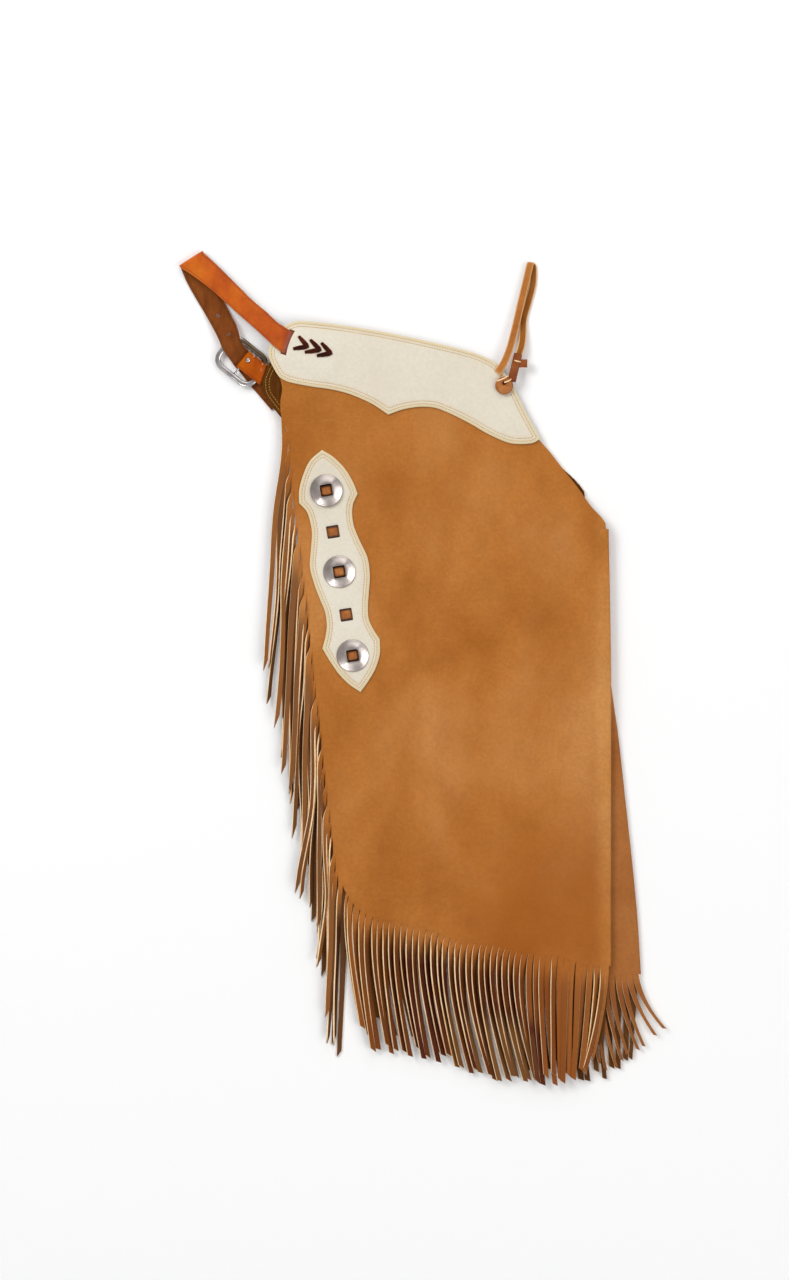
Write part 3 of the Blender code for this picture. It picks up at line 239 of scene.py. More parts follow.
# Fringe
LEG_ROWS = 22
LEG_COLUMNS = 15
SIDE_END = 0.99
HEM_ENDS = (0.01, 0.99)
NEAR_SIDE_START = 0.118
FAR_FIRST_ROW = 6
NEAR_SIDE_STRANDS = 27
FAR_SIDE_STRANDS = 10
NEAR_HEM_STRANDS = 45
FAR_HEM_STRANDS = 30
NEAR_FLAP_STRANDS = 8
FAR_FLAP_STRANDS = 9
SIDE_LENGTHS = (300.0, 190.0)
SIDE_WIDTH = 5.9
SIDE_LEAN = 0.043
SIDE_SETTLE = (10.0, 130.0)
# Where the hem's strands part into bunches, by strand
HEM_BUNCHES = (0, 2, 5, 8, 10, 13, 16, 18, 21, 24, 27, 29, 31, 34, 38, 41, 45)
FAR_HEM_BUNCHES = (0, 1, 3, 5, 7, 8, 10, 12, 14, 16, 18, 20, 22, 24, 25, 26, 27, 28, 29, 30)
DRIFT_POWER = 1.7
# Columns: share of the hem, length, bow, drift of the end, twist in degrees, darkness (painted shade below the root)
NEAR_HEM_SHAPES = (
    (0.00, 142, -3, 15, 38, 0.35), (0.08, 156, -4, 12, 44, 0.6), (0.18, 150, -5, 12, 50, 0.9),
    (0.34, 148, -6, 16, 52, 1.0), (0.50, 152, -7, 20, 50, 0.95), (0.66, 153, -7, 18, 46, 0.85),
    (0.70, 152, -5, 6, 16, 0.2), (0.86, 138, -2, -4, 8, 0.25), (0.94, 125, 0, -13, 14, 0.15),
    (1.00, 108, 2, -20, 18, 0.1),
)
FAR_HEM_SHAPES = (
    (0.00, 120, -2, 16, 8, 0.9), (0.30, 132, -3, 15, 8, 0.9), (0.60, 135, -3, 12, 8, 0.9),
    (0.85, 125, -2, 6, 8, 0.8), (1.00, 92, 0, -6, 8, 0.7),
)
FAR_FLAP_SHAPES = (
    (0.00, 108, -2, 10, 12, 0.6), (0.25, 108, -2, 16, 12, 0.6), (0.50, 96, -1, 20, 16, 0.6),
    (0.75, 80, 0, 24, 18, 0.5), (1.00, 56, 1, 38, 10, 0.3),
)
NEAR_FLAP_SHAPES = ((0.00, 105, -1, 2, 10, 0.8), (1.00, 92, 0, -4, 10, 0.8))

# Soft creases in the near panel. Columns: start x, y, end x, y, half width, height
CREASES = (
    (188, 120, 190, -320, 9, 0.9),
    (172, 140, 176, -300, 12, -0.5),
    (120, 215, 168, 130, 16, -0.9),
    (60, 235, 150, 60, 26, 0.8),
    (20, 220, 60, -60, 34, -0.7),
    (-20, 60, 10, -220, 30, 0.8),
    (40, -40, 130, -210, 30, -0.8),
    (100, 30, 150, -160, 26, 0.6),
    (-60, -120, -10, -270, 22, -0.6),
)


def srgb(red, green, blue):
    """A colour as seen on screen, 0 to 255, in linear light."""
    made = []
    for value in (red, green, blue):
        c = value / 255
        made.append(c / 12.92 if c <= 0.04045 else ((c + 0.055) / 1.055) ** 2.4)
    return (*made, 1.0)


def smooth_step(share):
    share = min(max(share, 0.0), 1.0)
    return share * share * (3.0 - 2.0 * share)


def fade(value, ends):
    """0 at the first end and 1 at the second, eased at both."""
    return smooth_step((value - ends[0]) / (ends[1] - ends[0]))


def mix(a, b, share):
    return a + (b - a) * share


def at_share(table, share):
    share = min(max(share, table[0][0]), table[-1][0])
    for low, high in zip(table, table[1:]):
        if share <= high[0]:
            part = (share - low[0]) / (high[0] - low[0])
            return [mix(a, b, part) for a, b in zip(low[1:], high[1:])]
    return list(table[-1][1:])


def curved(before, a, b, after, part):
    """A point of the smooth curve between a and b."""
    square = part * part
    cube = square * part
    return 0.5 * (
        2 * a + (b - before) * part + (2 * before - 5 * a + 4 * b - after) * square
        + (3 * a - before - 3 * b + after) * cube
    )


def smooth_at(table, share):
    """As at_share, along a smooth curve through the rows."""
    share = min(max(share, table[0][0]), table[-1][0])
    for i in range(len(table) - 1):
        if share <= table[i + 1][0]:
            break
    part = (share - table[i][0]) / (table[i + 1][0] - table[i][0])
    a = Vector(table[i][1:])
    b = Vector(table[i + 1][1:])
    before = Vector(table[i - 1][1:]) if i else 2 * a - b
    after = Vector(table[i + 2][1:]) if i + 2 < len(table) else 2 * b - a
    reach = (b - a).length
    before = a + (before - a).normalized() * min((before - a).length, reach)
    after = b + (after - b).normalized() * min((after - b).length, reach)
    return curved(before, a, b, after, part)


# Heights of the layers


def belt_rise(x, y):
    return BELT_LAYERS * (1.0 - fade(x, BELT_SIDE_X)) * fade(y, BELT_SIDE_Y)


def far_leg_bottom(x, y):
    line = YOKE_LINE[1] + (x - YOKE_LINE[0]) * YOKE_LINE[2]
    return belt_rise(x, y) + (WALL + GAP) * fade(y, (line - YOKE_RAMP, line))


def near_leg_bottom(x, y):
    flaps = fade(x, FLAP_SIDE_X) * (1.0 - fade(y, FLAP_SIDE_Y))
    return far_leg_bottom(x, y) + WALL + LEG_GAP + FLAPS_RISE * flaps


def near_leg_top(x, y):
    return near_leg_bottom(x, y) + WALL


def tongue_rise(x, y):
    dx = x - SLOT_MIDDLE[0]
    dy = y - SLOT_MIDDLE[1]
    inward = dx * SLOT_IN[0] + dy * SLOT_IN[1]
    along = dy * SLOT_IN[0] - dx * SLOT_IN[1]
    start = fade(inward, (-SLOT_HALF_WIDTH, SLOT_HALF_WIDTH))
    end = 1.0 - fade(inward, (TONGUE_LENGTH, TONGUE_LENGTH + TONGUE_FADE))
    side = 1.0 - fade(abs(along), (SLOT_HALF_LENGTH, SLOT_HALF_LENGTH + TONGUE_FADE))
    return (STRAP_WALL + GAP) * start * end * side


def near_yoke_bottom(x, y):
    return near_leg_top(x, y) + YOKE_GAP + tongue_rise(x, y)


def near_yoke_top(x, y):
    return near_yoke_bottom(x, y) + WALL


def plate_bottom(x, y):
    return near_leg_top(x, y) + GAP


def crease_height(x, y):
    """How far the panel's creases lift or sink it here."""
    total = 0.0
    for ax, ay, bx, by, half, height in CREASES:
        run = Vector((bx - ax, by - ay))
        reach = Vector((x - ax, y - ay))
        share = reach.dot(run) / run.length_squared
        uneven = 1.0 + 0.35 * noise.noise(Vector((x, y, half)) * 0.02)
        ends = fade(share, (-0.15, 0.25)) * (1.0 - fade(share, (0.75, 1.15)))
        away = (reach - run * share).length / (half * uneven)
        total += height * ends * math.exp(-away * away)
    return total


# Materials


def new_material(name):
    material = bpy.data.materials.new(name)
    material.use_nodes = True
    nodes = material.node_tree.nodes
    return material, nodes, material.node_tree.links, nodes["Principled BSDF"]


def place_node(nodes, links, scale):
    """Coordinates in the row frame, one unit to 1/scale metres."""
    where = nodes.new("ShaderNodeTexCoord")
    mapping = nodes.new("ShaderNodeMapping")
    mapping.inputs["Scale"].default_value = scale
    links.new(where.outputs["Object"], mapping.inputs["Vector"])
    return mapping.outputs["Vector"]


def noise_node(nodes, links, scale, detail, stretch=(1, 1, 1), roughness=0.55):
    made = nodes.new("ShaderNodeTexNoise")
    made.inputs["Scale"].default_value = scale
    made.inputs["Detail"].default_value = detail
    made.inputs["Roughness"].default_value = roughness
    links.new(place_node(nodes, links, stretch), made.inputs["Vector"])
    return made.outputs["Fac"]


def ramp_node(nodes, links, source, stops):
    made = nodes.new("ShaderNodeValToRGB")
    ramp = made.color_ramp
    while len(ramp.elements) < len(stops):
        ramp.elements.new(0.5)
    for element, (place, colour) in zip(ramp.elements, stops):
        element.position = place
        element.color = colour
    links.new(source, made.inputs["Fac"])
    return made.outputs["Color"]


def mix_node(nodes, links, share, first, second, kind="MIX"):
    made = nodes.new("ShaderNodeMix")
    made.data_type = "RGBA"
    made.blend_type = kind
    for socket, value in (("Factor", share), ("A", first), ("B", second)):
        inputs = [i for i in made.inputs if i.name == socket and i.enabled]
        if isinstance(value, (int, float, tuple)):
            inputs[0].default_value = value
        else:
            links.new(value, inputs[0])
    return [o for o in made.outputs if o.enabled][0]


def math_node(nodes, links, kind, first, second):
    made = nodes.new("ShaderNodeMath")
    made.operation = kind
    for i, value in enumerate((first, second)):
        if isinstance(value, (int, float)):
            made.inputs[i].default_value = value
        else:
            links.new(value, made.inputs[i])
    return made.outputs["Value"]


def bump_node(nodes, links, shader, height, strength, distance):
    made = nodes.new("ShaderNodeBump")
    made.inputs["Strength"].default_value = strength
    made.inputs["Distance"].default_value = distance
    links.new(height, made.inputs["Height"])
    links.new(made.outputs["Normal"], shader.inputs["Normal"])
    return made


def range_node(nodes, links, source, low, high):
    made = nodes.new("ShaderNodeMapRange")
    made.inputs["To Min"].default_value = low
    made.inputs["To Max"].default_value = high
    links.new(source, made.inputs["Value"])
    return made.outputs["Result"]


def leather(
    name, colours, roughness, sheen=0.0, bump=0.25, tone=None, shade=None, deep=None,
    scratches=0.0, spots=9.0, pores_seen=0.8, gloss=0.35,
):
    """Smooth leather: clouded colour, fine grain, worn sheen and a few scratches."""
    material, nodes, links, shader = new_material(name)
    dark, middle, light = (srgb(*c) for c in colours)
    clouds = noise_node(nodes, links, spots, 3, (1.0, 0.75, 1.0))
    colour = ramp_node(nodes, links, clouds, ((0.33, dark), (0.5, middle), (0.68, light)))
    pores = noise_node(nodes, links, 260, 2)
    fine = ramp_node(nodes, links, pores, ((0.3, (0.88,) * 3 + (1,)), (0.7, (1.08,) * 3 + (1,))))
    colour = mix_node(nodes, links, pores_seen, colour, fine, "MULTIPLY")
    if scratches:
        lines = noise_node(nodes, links, 14, 2, (1.0, 7.0, 1.0), 0.4)
        lines = ramp_node(
            nodes, links, lines,
            ((0.0, (0,) * 3 + (1,)), (0.498, (0,) * 3 + (1,)), (0.502, (1,) * 3 + (1,)), (0.508, (0,) * 3 + (1,))),
        )
        share = math_node(nodes, links, "MULTIPLY", lines, scratches)
        colour = mix_node(nodes, links, share, colour, light)
    if tone:
        patches = noise_node(nodes, links, 34, 5, (1.0, 0.7, 1.0), 0.62)
        patches = ramp_node(nodes, links, patches, ((0.32, (0.9,) * 3 + (1,)), (0.68, (1.08,) * 3 + (1,))))
        colour = mix_node(nodes, links, 0.9, colour, patches, "MULTIPLY")
        # Mixes toward the deeper tone by the "tone" attribute; its low values beside the fold are a painted highlight
        attribute = nodes.new("ShaderNodeAttribute")
        attribute.attribute_name = "tone"
        colour = mix_node(nodes, links, attribute.outputs["Fac"], colour, srgb(*tone))
    if shade:
        attribute = nodes.new("ShaderNodeAttribute")
        attribute.attribute_name = "shade"
        colour = mix_node(nodes, links, attribute.outputs["Fac"], colour, srgb(*shade))
    if deep:
        over = math_node(nodes, links, "SUBTRACT", attribute.outputs["Fac"], 1.0)
        colour = mix_node(nodes, links, over, colour, srgb(*deep))
    links.new(colour, shader.inputs["Base Color"])
    wear = noise_node(nodes, links, 22, 3)
    links.new(range_node(nodes, links, wear, roughness - 0.1, roughness + 0.1), shader.inputs["Roughness"])
    grain = nodes.new("ShaderNodeTexVoronoi")
    grain.inputs["Scale"].default_value = 700
    links.new(place_node(nodes, links, (1, 1, 1)), grain.inputs["Vector"])
    height = math_node(nodes, links, "ADD", grain.outputs["Distance"], pores)
    bump_node(nodes, links, shader, height, bump, 0.0004)
    if sheen:
        shader.inputs["Coat Weight"].default_value = sheen
        shader.inputs["Coat Roughness"].default_value = 0.35
    shader.inputs["Specular IOR Level"].default_value = gloss
    return material


def suede(name, colours, shade=None):
    """The flesh side: matt, fibrous, a little streaked."""
    material, nodes, links, shader = new_material(name)
    dark, light = (srgb(*c) for c in colours)
    fibres = noise_node(nodes, links, 160, 4, (1.0, 0.3, 1.0), 0.7)
    clouds = noise_node(nodes, links, 18, 3)
    both = math_node(nodes, links, "ADD", math_node(nodes, links, "MULTIPLY", fibres, 0.5), math_node(nodes, links, "MULTIPLY", clouds, 0.5))
    colour = ramp_node(nodes, links, both, ((0.32, dark), (0.66, light)))
    if shade:
        attribute = nodes.new("ShaderNodeAttribute")
        attribute.attribute_name = "shade"
        colour = mix_node(nodes, links, attribute.outputs["Fac"], colour, srgb(*shade))
    links.new(colour, shader.inputs["Base Color"])
    shader.inputs["Roughness"].default_value = 0.95
    shader.inputs["Specular IOR Level"].default_value = 0.1
    bump_node(nodes, links, shader, fibres, 0.5, 0.0008)
    return material


def metal(name, dark, light, roughness, shade=None):
    """Worn silver: polished, with soft clouds and fine scratches."""
    material, nodes, links, shader = new_material(name)
    clouds = noise_node(nodes, links, 90, 4)
    colour = ramp_node(nodes, links, clouds, ((0.3, srgb(*dark)), (0.7, srgb(*light))))
    if shade:
        attribute = nodes.new("ShaderNodeAttribute")
        attribute.attribute_name = "shade"
        colour = mix_node(nodes, links, attribute.outputs["Fac"], colour, srgb(*shade))
    links.new(colour, shader.inputs["Base Color"])
    shader.inputs["Metallic"].default_value = 1.0
    links.new(range_node(nodes, links, clouds, roughness - 0.06, roughness + 0.12), shader.inputs["Roughness"])
    lines = noise_node(nodes, links, 500, 3, (1.0, 0.15, 1.0))
    bump_node(nodes, links, shader, lines, 0.15, 0.0002)
    return material


def thread(name, colour, light):
    """Waxed thread, with the twist of its plies."""
    material, nodes, links, shader = new_material(name)
    plies = noise_node(nodes, links, 900, 1)
    links.new(ramp_node(nodes, links, plies, ((0.35, srgb(*colour)), (0.65, srgb(*light)))), shader.inputs["Base Color"])
    shader.inputs["Roughness"].default_value = 0.6
    bump_node(nodes, links, shader, plies, 0.4, 0.0003)
    return material


TAN = ((168, 101, 36), (187, 119, 52), (201, 138, 75))
# The far leg's tan: the same leather, painted darker as shade
SHADED_FAR_TAN = ((152, 88, 36), (166, 102, 48), (176, 114, 60))
TONE = (152, 78, 8)
GRAIN = leather("tan_grain", TAN, 0.66, tone=TONE, scratches=0.5, spots=7, gloss=0.15)
FAR_GRAIN = leather("far_tan_grain", SHADED_FAR_TAN, 0.7, spots=8, gloss=0.15)
# Hem strands: the shade colour is painted shade below the roots, the deep colour the olive flesh side
HEM_GRAIN = leather("hem_grain", TAN, 0.66, tone=TONE, shade=(80, 26, 2), deep=(122, 80, 38), spots=7, gloss=0.15)
# Side strands: the shade colour is the flesh side's brown, the deep colour painted shade on strands lying lower
SIDE_GRAIN = leather("side_grain", TAN, 0.7, tone=TONE, shade=(126, 80, 42), deep=(66, 34, 12), spots=7, gloss=0.15)
# Far flap strands: both the shade and the deep colour are painted shade
FAR_HEM_GRAIN = leather("far_hem_grain", SHADED_FAR_TAN, 0.7, shade=(96, 48, 16), deep=(60, 28, 8), spots=8, gloss=0.15)
# The flesh side; its shade colour is painted shade on strands lying behind others, and it also darkens a yoke's flesh
# side near its rim
FLESH = suede("tan_flesh", ((110, 70, 32), (146, 100, 54)), shade=(74, 42, 16))
# The far leg's flesh side: suede brown painted darker as shade
SHADED_SUEDE = suede("shaded_suede", ((66, 33, 6), (104, 60, 16)))
CUT_EDGE = leather("cut_edge", ((244, 196, 142), (252, 214, 166), (255, 226, 186)), 0.8, spots=60, gloss=0.1)
CREAM = leather(
    "cream_grain", ((220, 210, 191), (223, 214, 196), (227, 219, 202)), 0.75, bump=0.12, shade=(220, 204, 168),
    pores_seen=0.35,
)
CREAM_EDGE = leather("cream_edge", ((222, 205, 168), (230, 215, 180), (237, 224, 194)), 0.85, spots=60)
# Strap grain; its shade colour darkens the edges and creased lines, and is painted shade at the belt's end by the slot
ORANGE = leather(
    "strap_grain", ((170, 66, 1), (194, 88, 2), (208, 106, 12)), 0.45, sheen=0.08, spots=24, shade=(124, 44, 1), gloss=0.3
)
BILLET_GRAIN = leather(
    "billet_grain", ((152, 60, 1), (172, 76, 1), (188, 92, 4)), 0.5, sheen=0.0, spots=30, shade=(92, 32, 2), gloss=0.12
)
BILLET_FLESH = suede("billet_flesh", ((118, 62, 28), (162, 98, 54)), shade=(84, 38, 14))
STRAP_FLESH = suede("strap_flesh", ((100, 48, 14), (140, 78, 34)), shade=(82, 38, 14))
STRAP_EDGE = leather("strap_edge", ((70, 30, 12), (88, 40, 18), (104, 50, 24)), 0.5, spots=60)
LACING = leather("lacing_grain", ((40, 9, 2), (60, 18, 6), (88, 34, 16)), 0.7, spots=80, gloss=0.12)
LACING_EDGE = leather("lacing_edge", ((112, 50, 20), (132, 64, 28), (146, 76, 36)), 0.7, spots=80)
LACE_GRAIN = leather("lace_grain", ((160, 92, 26), (176, 106, 38), (186, 118, 50)), 0.6, shade=(206, 152, 94), spots=30)
LACE_FLESH = suede("lace_flesh", ((124, 72, 26), (160, 100, 44)), shade=(222, 176, 122))
KEEPER_GRAIN = leather(
    "keeper_grain", ((108, 50, 16), (130, 64, 24), (146, 80, 36)), 0.6, spots=60, shade=(236, 190, 140), gloss=0.2
)
KNOT_GRAIN = leather("knot_grain", ((154, 88, 34), (174, 106, 48), (188, 124, 66)), 0.6, spots=50, shade=(240, 204, 160))
# The thong's shade colour is painted shade at its ends and sides
THONG_GRAIN = leather("thong_grain", ((136, 74, 22), (164, 94, 34), (188, 118, 54)), 0.55, spots=90, shade=(44, 16, 4))
SILVER = metal("silver", (176, 164, 158), (208, 197, 191), 0.3)
# Its shade colour is a painted reflection of the brown leather
BUCKLE_STEEL = metal("buckle_steel", (176, 170, 168), (224, 220, 218), 0.26, (98, 74, 40))
COPPER = metal("copper", (186, 110, 66), (220, 150, 100), 0.35)
BEIGE_THREAD = thread("beige_thread", (192, 150, 92), (212, 176, 122))
GOLD_THREAD = thread("gold_thread", (150, 104, 34), (186, 140, 56))


# Meshes


def near_tone_and_fold_highlight(x, y):
    """How deep the near leg's tan is: random clouds, deepest low on the right, and palest beside the fold, a painted
    highlight of the fold's rounding.
    """
    low = fade(x, (-30.0, 110.0)) * (1.0 - fade(y, (-270.0, -110.0)))
    cloud = noise.noise(Vector((x * 0.012, y * 0.007, 5.0)))
    return min(max(0.25 + 0.42 * low + 0.2 * cloud - 0.45 * fade(x, (192.0, 211.0)), 0.0), 1.0)


def new_object(name, points, faces, materials, face_slots=None, smooth=True, shades=None, tones_and_highlights=None):
    mesh = bpy.data.meshes.new(name)
    mesh.from_pydata([(Vector(p) + SHIFT) * MM for p in points], [], faces)
    for material in materials:
        mesh.materials.append(material)
    if face_slots:
        mesh.polygons.foreach_set("material_index", face_slots)
    mesh.polygons.foreach_set("use_smooth", [smooth] * len(faces))
    if shades:
        layer = mesh.attributes.new("shade", "FLOAT", "POINT")
        layer.data.foreach_set("value", shades)
    if tones_and_highlights:
        layer = mesh.attributes.new("tone", "FLOAT", "POINT")
        layer.data.foreach_set("value", tones_and_highlights)
    mesh.update()
    made = bpy.data.objects.new(name, mesh)
    bpy.context.scene.collection.objects.link(made)
    return made


def finish_piece(piece, slot, *nodes):
    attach(piece, "root")
    if nodes:
        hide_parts(*nodes)
    return piece


def mark_sharp(piece, degrees):
    """Keeps the cut edges of a smooth sheet crisp."""
    edit = bmesh.new()
    edit.from_mesh(piece.data)
    for edge in edit.edges:
        if len(edge.link_faces) == 2 and edge.calc_face_angle(0.0) > math.radians(degrees):
            edge.smooth = False
    edit.to_mesh(piece.data)
    edit.free()


def sheet(name, grid, thickness, materials, shades=None, tones_and_highlights=None):
    """A sheet round a grid of middle points. Materials: upper side, lower side, cut edge."""
    rows = len(grid)
    columns = len(grid[0])
    points = []
    for side in (0.5, -0.5):
        for r in range(rows):
            for c in range(columns):
                down = grid[min(r + 1, rows - 1)][c] - grid[max(r - 1, 0)][c]
                across = grid[r][min(c + 1, columns - 1)] - grid[r][max(c - 1, 0)]
                points.append(grid[r][c] + across.cross(down).normalized() * -thickness * side)
    back = rows * columns
    faces = []
    slots = []
    for r in range(rows - 1):
        for c in range(columns - 1):
            a = r * columns + c
            faces.append((a, a + columns, a + columns + 1, a + 1))
            faces.append((back + a, back + a + 1, back + a + columns + 1, back + a + columns))
            slots += [0, 1]
    rim = list(range(columns))
    rim += [r * columns + columns - 1 for r in range(1, rows)]
    rim += [(rows - 1) * columns + c for c in range(columns - 2, -1, -1)]
    rim += [r * columns for r in range(rows - 2, 0, -1)]
    for a, b in zip(rim, rim[1:] + rim[:1]):
        faces.append((a, b, back + b, back + a))
        slots.append(2)
    shades = shades * 2 if shades else None
    tones_and_highlights = tones_and_highlights * 2 if tones_and_highlights else None
    piece = new_object(name, points, faces, materials, slots, True, shades, tones_and_highlights)
    mark_sharp(piece, 50)
    return piece


def tube(path, half_width, half_height, sides, closed, faces, points):
    """Adds a rounded rod round a path to these points and faces."""
    count = len(path)
    first = len(points)
    for i, middle in enumerate(path):
        before = path[i - 1] if closed or i else path[i]
        after = path[(i + 1) % count] if closed or i < count - 1 else path[i]
        forward = (after - before).normalized()
        side = forward.cross(Vector((0, 0, 1))).normalized()
        up = side.cross(forward)
        for k in range(sides):
            angle = 2 * math.pi * (k + 0.5) / sides
            points.append(middle + side * half_width * math.cos(angle) + up * half_height * math.sin(angle))
    for i in range(count if closed else count - 1):
        for k in range(sides):
            a = first + i * sides + k
            b = first + i * sides + (k + 1) % sides
            c = first + ((i + 1) % count) * sides + (k + 1) % sides
            d = first + ((i + 1) % count) * sides + k
            faces.append((a, d, c, b))
    if not closed:
        faces.append(tuple(first + k for k in range(sides)))
        faces.append(tuple(first + (count - 1) * sides + k for k in reversed(range(sides))))


# Legs


def leg_point(edges, across, down):
    top, fold, side, hem = edges
    t = smooth_at(top, across)
    h = smooth_at(hem, across)
    s = smooth_at(side, down)
    f = smooth_at(fold, down)
    corners = (
        Vector(top[0][1:]) * (1 - across) * (1 - down)
        + Vector(top[-1][1:]) * across * (1 - down)
        + Vector(hem[0][1:]) * (1 - across) * down
        + Vector(hem[-1][1:]) * across * down
    )
    return t * (1 - down) + h * down + s * (1 - across) + f * across - corners


def leg(name, edges, outer_bottom, flap_up, lift, tone_and_highlight_at, rows, columns, materials):
    """One leg: the outer sheet, the bend at the fold and the flap behind or before it."""
    fold_steps = 8
    flap_columns = 8
    grid = []
    for r in range(rows + 1):
        down = r / rows
        row = []
        for c in range(columns + 1):
            x, y = leg_point(edges, c / columns, down)
            if c == columns:
                x -= FOLD_RADIUS + WALL / 2
            rise = lift(x, y) if lift else 0.0
            row.append(Vector((x, y, outer_bottom(x, y) + WALL / 2 + rise)))
        bend = row[-1]
        for k in range(1, fold_steps + 1):
            angle = math.pi * k / fold_steps
            turn = Vector((math.sin(angle), 0, flap_up * (1 - math.cos(angle))))
            row.append(bend + turn * FOLD_RADIUS)
        height = row[-1].z - outer_bottom(bend.x, bend.y)
        for k in range(1, flap_columns + 1):
            share = k / flap_columns
            x = bend.x - FLAP_WIDTH * share
            y = bend.y - FLAP_SLANT * share * (1 - down)
            base = height + outer_bottom(bend.x, bend.y) - far_leg_bottom(bend.x, bend.y)
            row.append(Vector((x, y, base + far_leg_bottom(x, y))))
        grid.append(row)
    # Tone of the tan, with a painted highlight beside the fold
    tones_and_highlights = [tone_and_highlight_at(p.x, p.y) for row in grid for p in row] if tone_and_highlight_at else None
    return sheet(name, grid, WALL, materials, None, tones_and_highlights)


NEAR_EDGES = (NEAR_TOP, NEAR_FOLD, NEAR_SIDE, NEAR_HEM)
FAR_EDGES = (FAR_TOP, FAR_FOLD, FAR_SIDE, FAR_HEM)
near_leg = leg(
    "near_leg_panel", NEAR_EDGES, near_leg_bottom, -1, crease_height, near_tone_and_fold_highlight, 132, 90, [GRAIN, FLESH, CUT_EDGE]
)
finish_piece(near_leg, "tan_leather", "near_leg")
far_leg = leg(
    "far_leg_panel", FAR_EDGES, far_leg_bottom, 1, None, None, 132, 90, [SHADED_SUEDE, FAR_GRAIN, CUT_EDGE]
)
finish_piece(far_leg, "tan_leather", "far_leg")


# Fringe


def strand(points, faces, slots, shades, left, right, path, slant):
    """A strand from two root points. Path: middle, half width, twist, darkness. Slant: how much sooner one side ends."""
    thin = Vector((0, 0, WALL / 2 - 0.02))
    first = len(points)
    points += [left + thin, right + thin, right - thin, left - thin]
    shades += [path[0][3]] * 4
    middles = [(left + right) / 2] + [s[0] for s in path]
    thick = STRAND_WALL / 2
    for i, (middle, half, twist, shade) in enumerate(path):
        forward = (middles[min(i + 2, len(path))] - middles[i]).normalized()
        side = forward.cross(Vector((0, 0, 1))).normalized() * -1
        if side.x < 0:
            side = -side
        up = side.cross(-forward).normalized()
        if up.z < 0:
            up = -up
        across = side * math.cos(twist) - up * math.sin(twist)
        out = side * math.sin(twist) + up * math.cos(twist)
        least = half * abs(math.sin(twist)) + thick + 0.1
        middle = Vector((middle.x, middle.y, max(middle.z, least)))
        short_left = Vector()
        short_right = Vector()
        if i == len(path) - 1:
            short_left = forward * -max(slant, 0.0)
            short_right = forward * min(slant, 0.0)
        points += [
            middle - across * half + out * thick + short_left, middle + across * half + out * thick + short_right,
            middle + across * half - out * thick + short_right, middle - across * half - out * thick + short_left,
        ]
        shades += [shade] * 4
        for k in range(4):
            a = first + 4 * i + k
            b = first + 4 * i + (k + 1) % 4
            faces.append((a, b, b + 4, a + 4))
            slots.append((0, 2, 1, 2)[k])
    last = first + 4 * len(path)
    faces.append((last, last + 1, last + 2, last + 3))
    slots.append(2)


def build_fringe(name, roots, paths, slant, node, materials):
    points = []
    faces = []
    slots = []
    shades = []
    for i, path in enumerate(paths):
        cut = slant * (1.0 + 0.35 * math.sin(2.7 * i))
        strand(points, faces, slots, shades, Vector(roots[i]), Vector(roots[i + 1]), path, cut)
    # The strands' roots take the panel's tone and its painted fold highlight
    tones_and_highlights = [near_tone_and_fold_highlight(p.x, p.y) for p in points]
    piece = new_object(name, points, faces, materials, slots, True, shades, tones_and_highlights)
    edit = bmesh.new()
    edit.from_mesh(piece.data)
    bmesh.ops.recalc_face_normals(edit, faces=edit.faces[:])
    for edge in edit.edges:
        if len(edge.link_faces) == 2 and edge.link_faces[0].material_index != edge.link_faces[1].material_index:
            edge.smooth = False
    edit.to_mesh(piece.data)
    edit.free()
    return finish_piece(piece, "tan_leather", node)


def roots_on(edges, which, count, share, height, lift=None):
    made = []
    for i in range(count + 1):
        x, y = smooth_at(edges[which], share(i / count))
        made.append((x, y, height(x, y) + WALL / 2 + (lift(x, y) if lift else 0.0)))
    return made


def bunch_pull(bunches, i, pull):
    """How far a strand leans to the middle of its bunch, in strands."""
    for low, high in zip(bunches, bunches[1:]):
        if i < high:
            return ((low + high) / 2 - i - 0.5) * pull
    return 0.0


def flap_roots(table, count, outer_bottom, flap_up):
    fold_x, fold_y = table[-1][1:]
    bend_x = fold_x - FOLD_RADIUS - WALL / 2
    level = outer_bottom(bend_x, fold_y) + WALL / 2 + flap_up * 2 * FOLD_RADIUS
    return [(mix(bend_x - FLAP_WIDTH, bend_x, i / count), fold_y, level) for i in range(count + 1)]


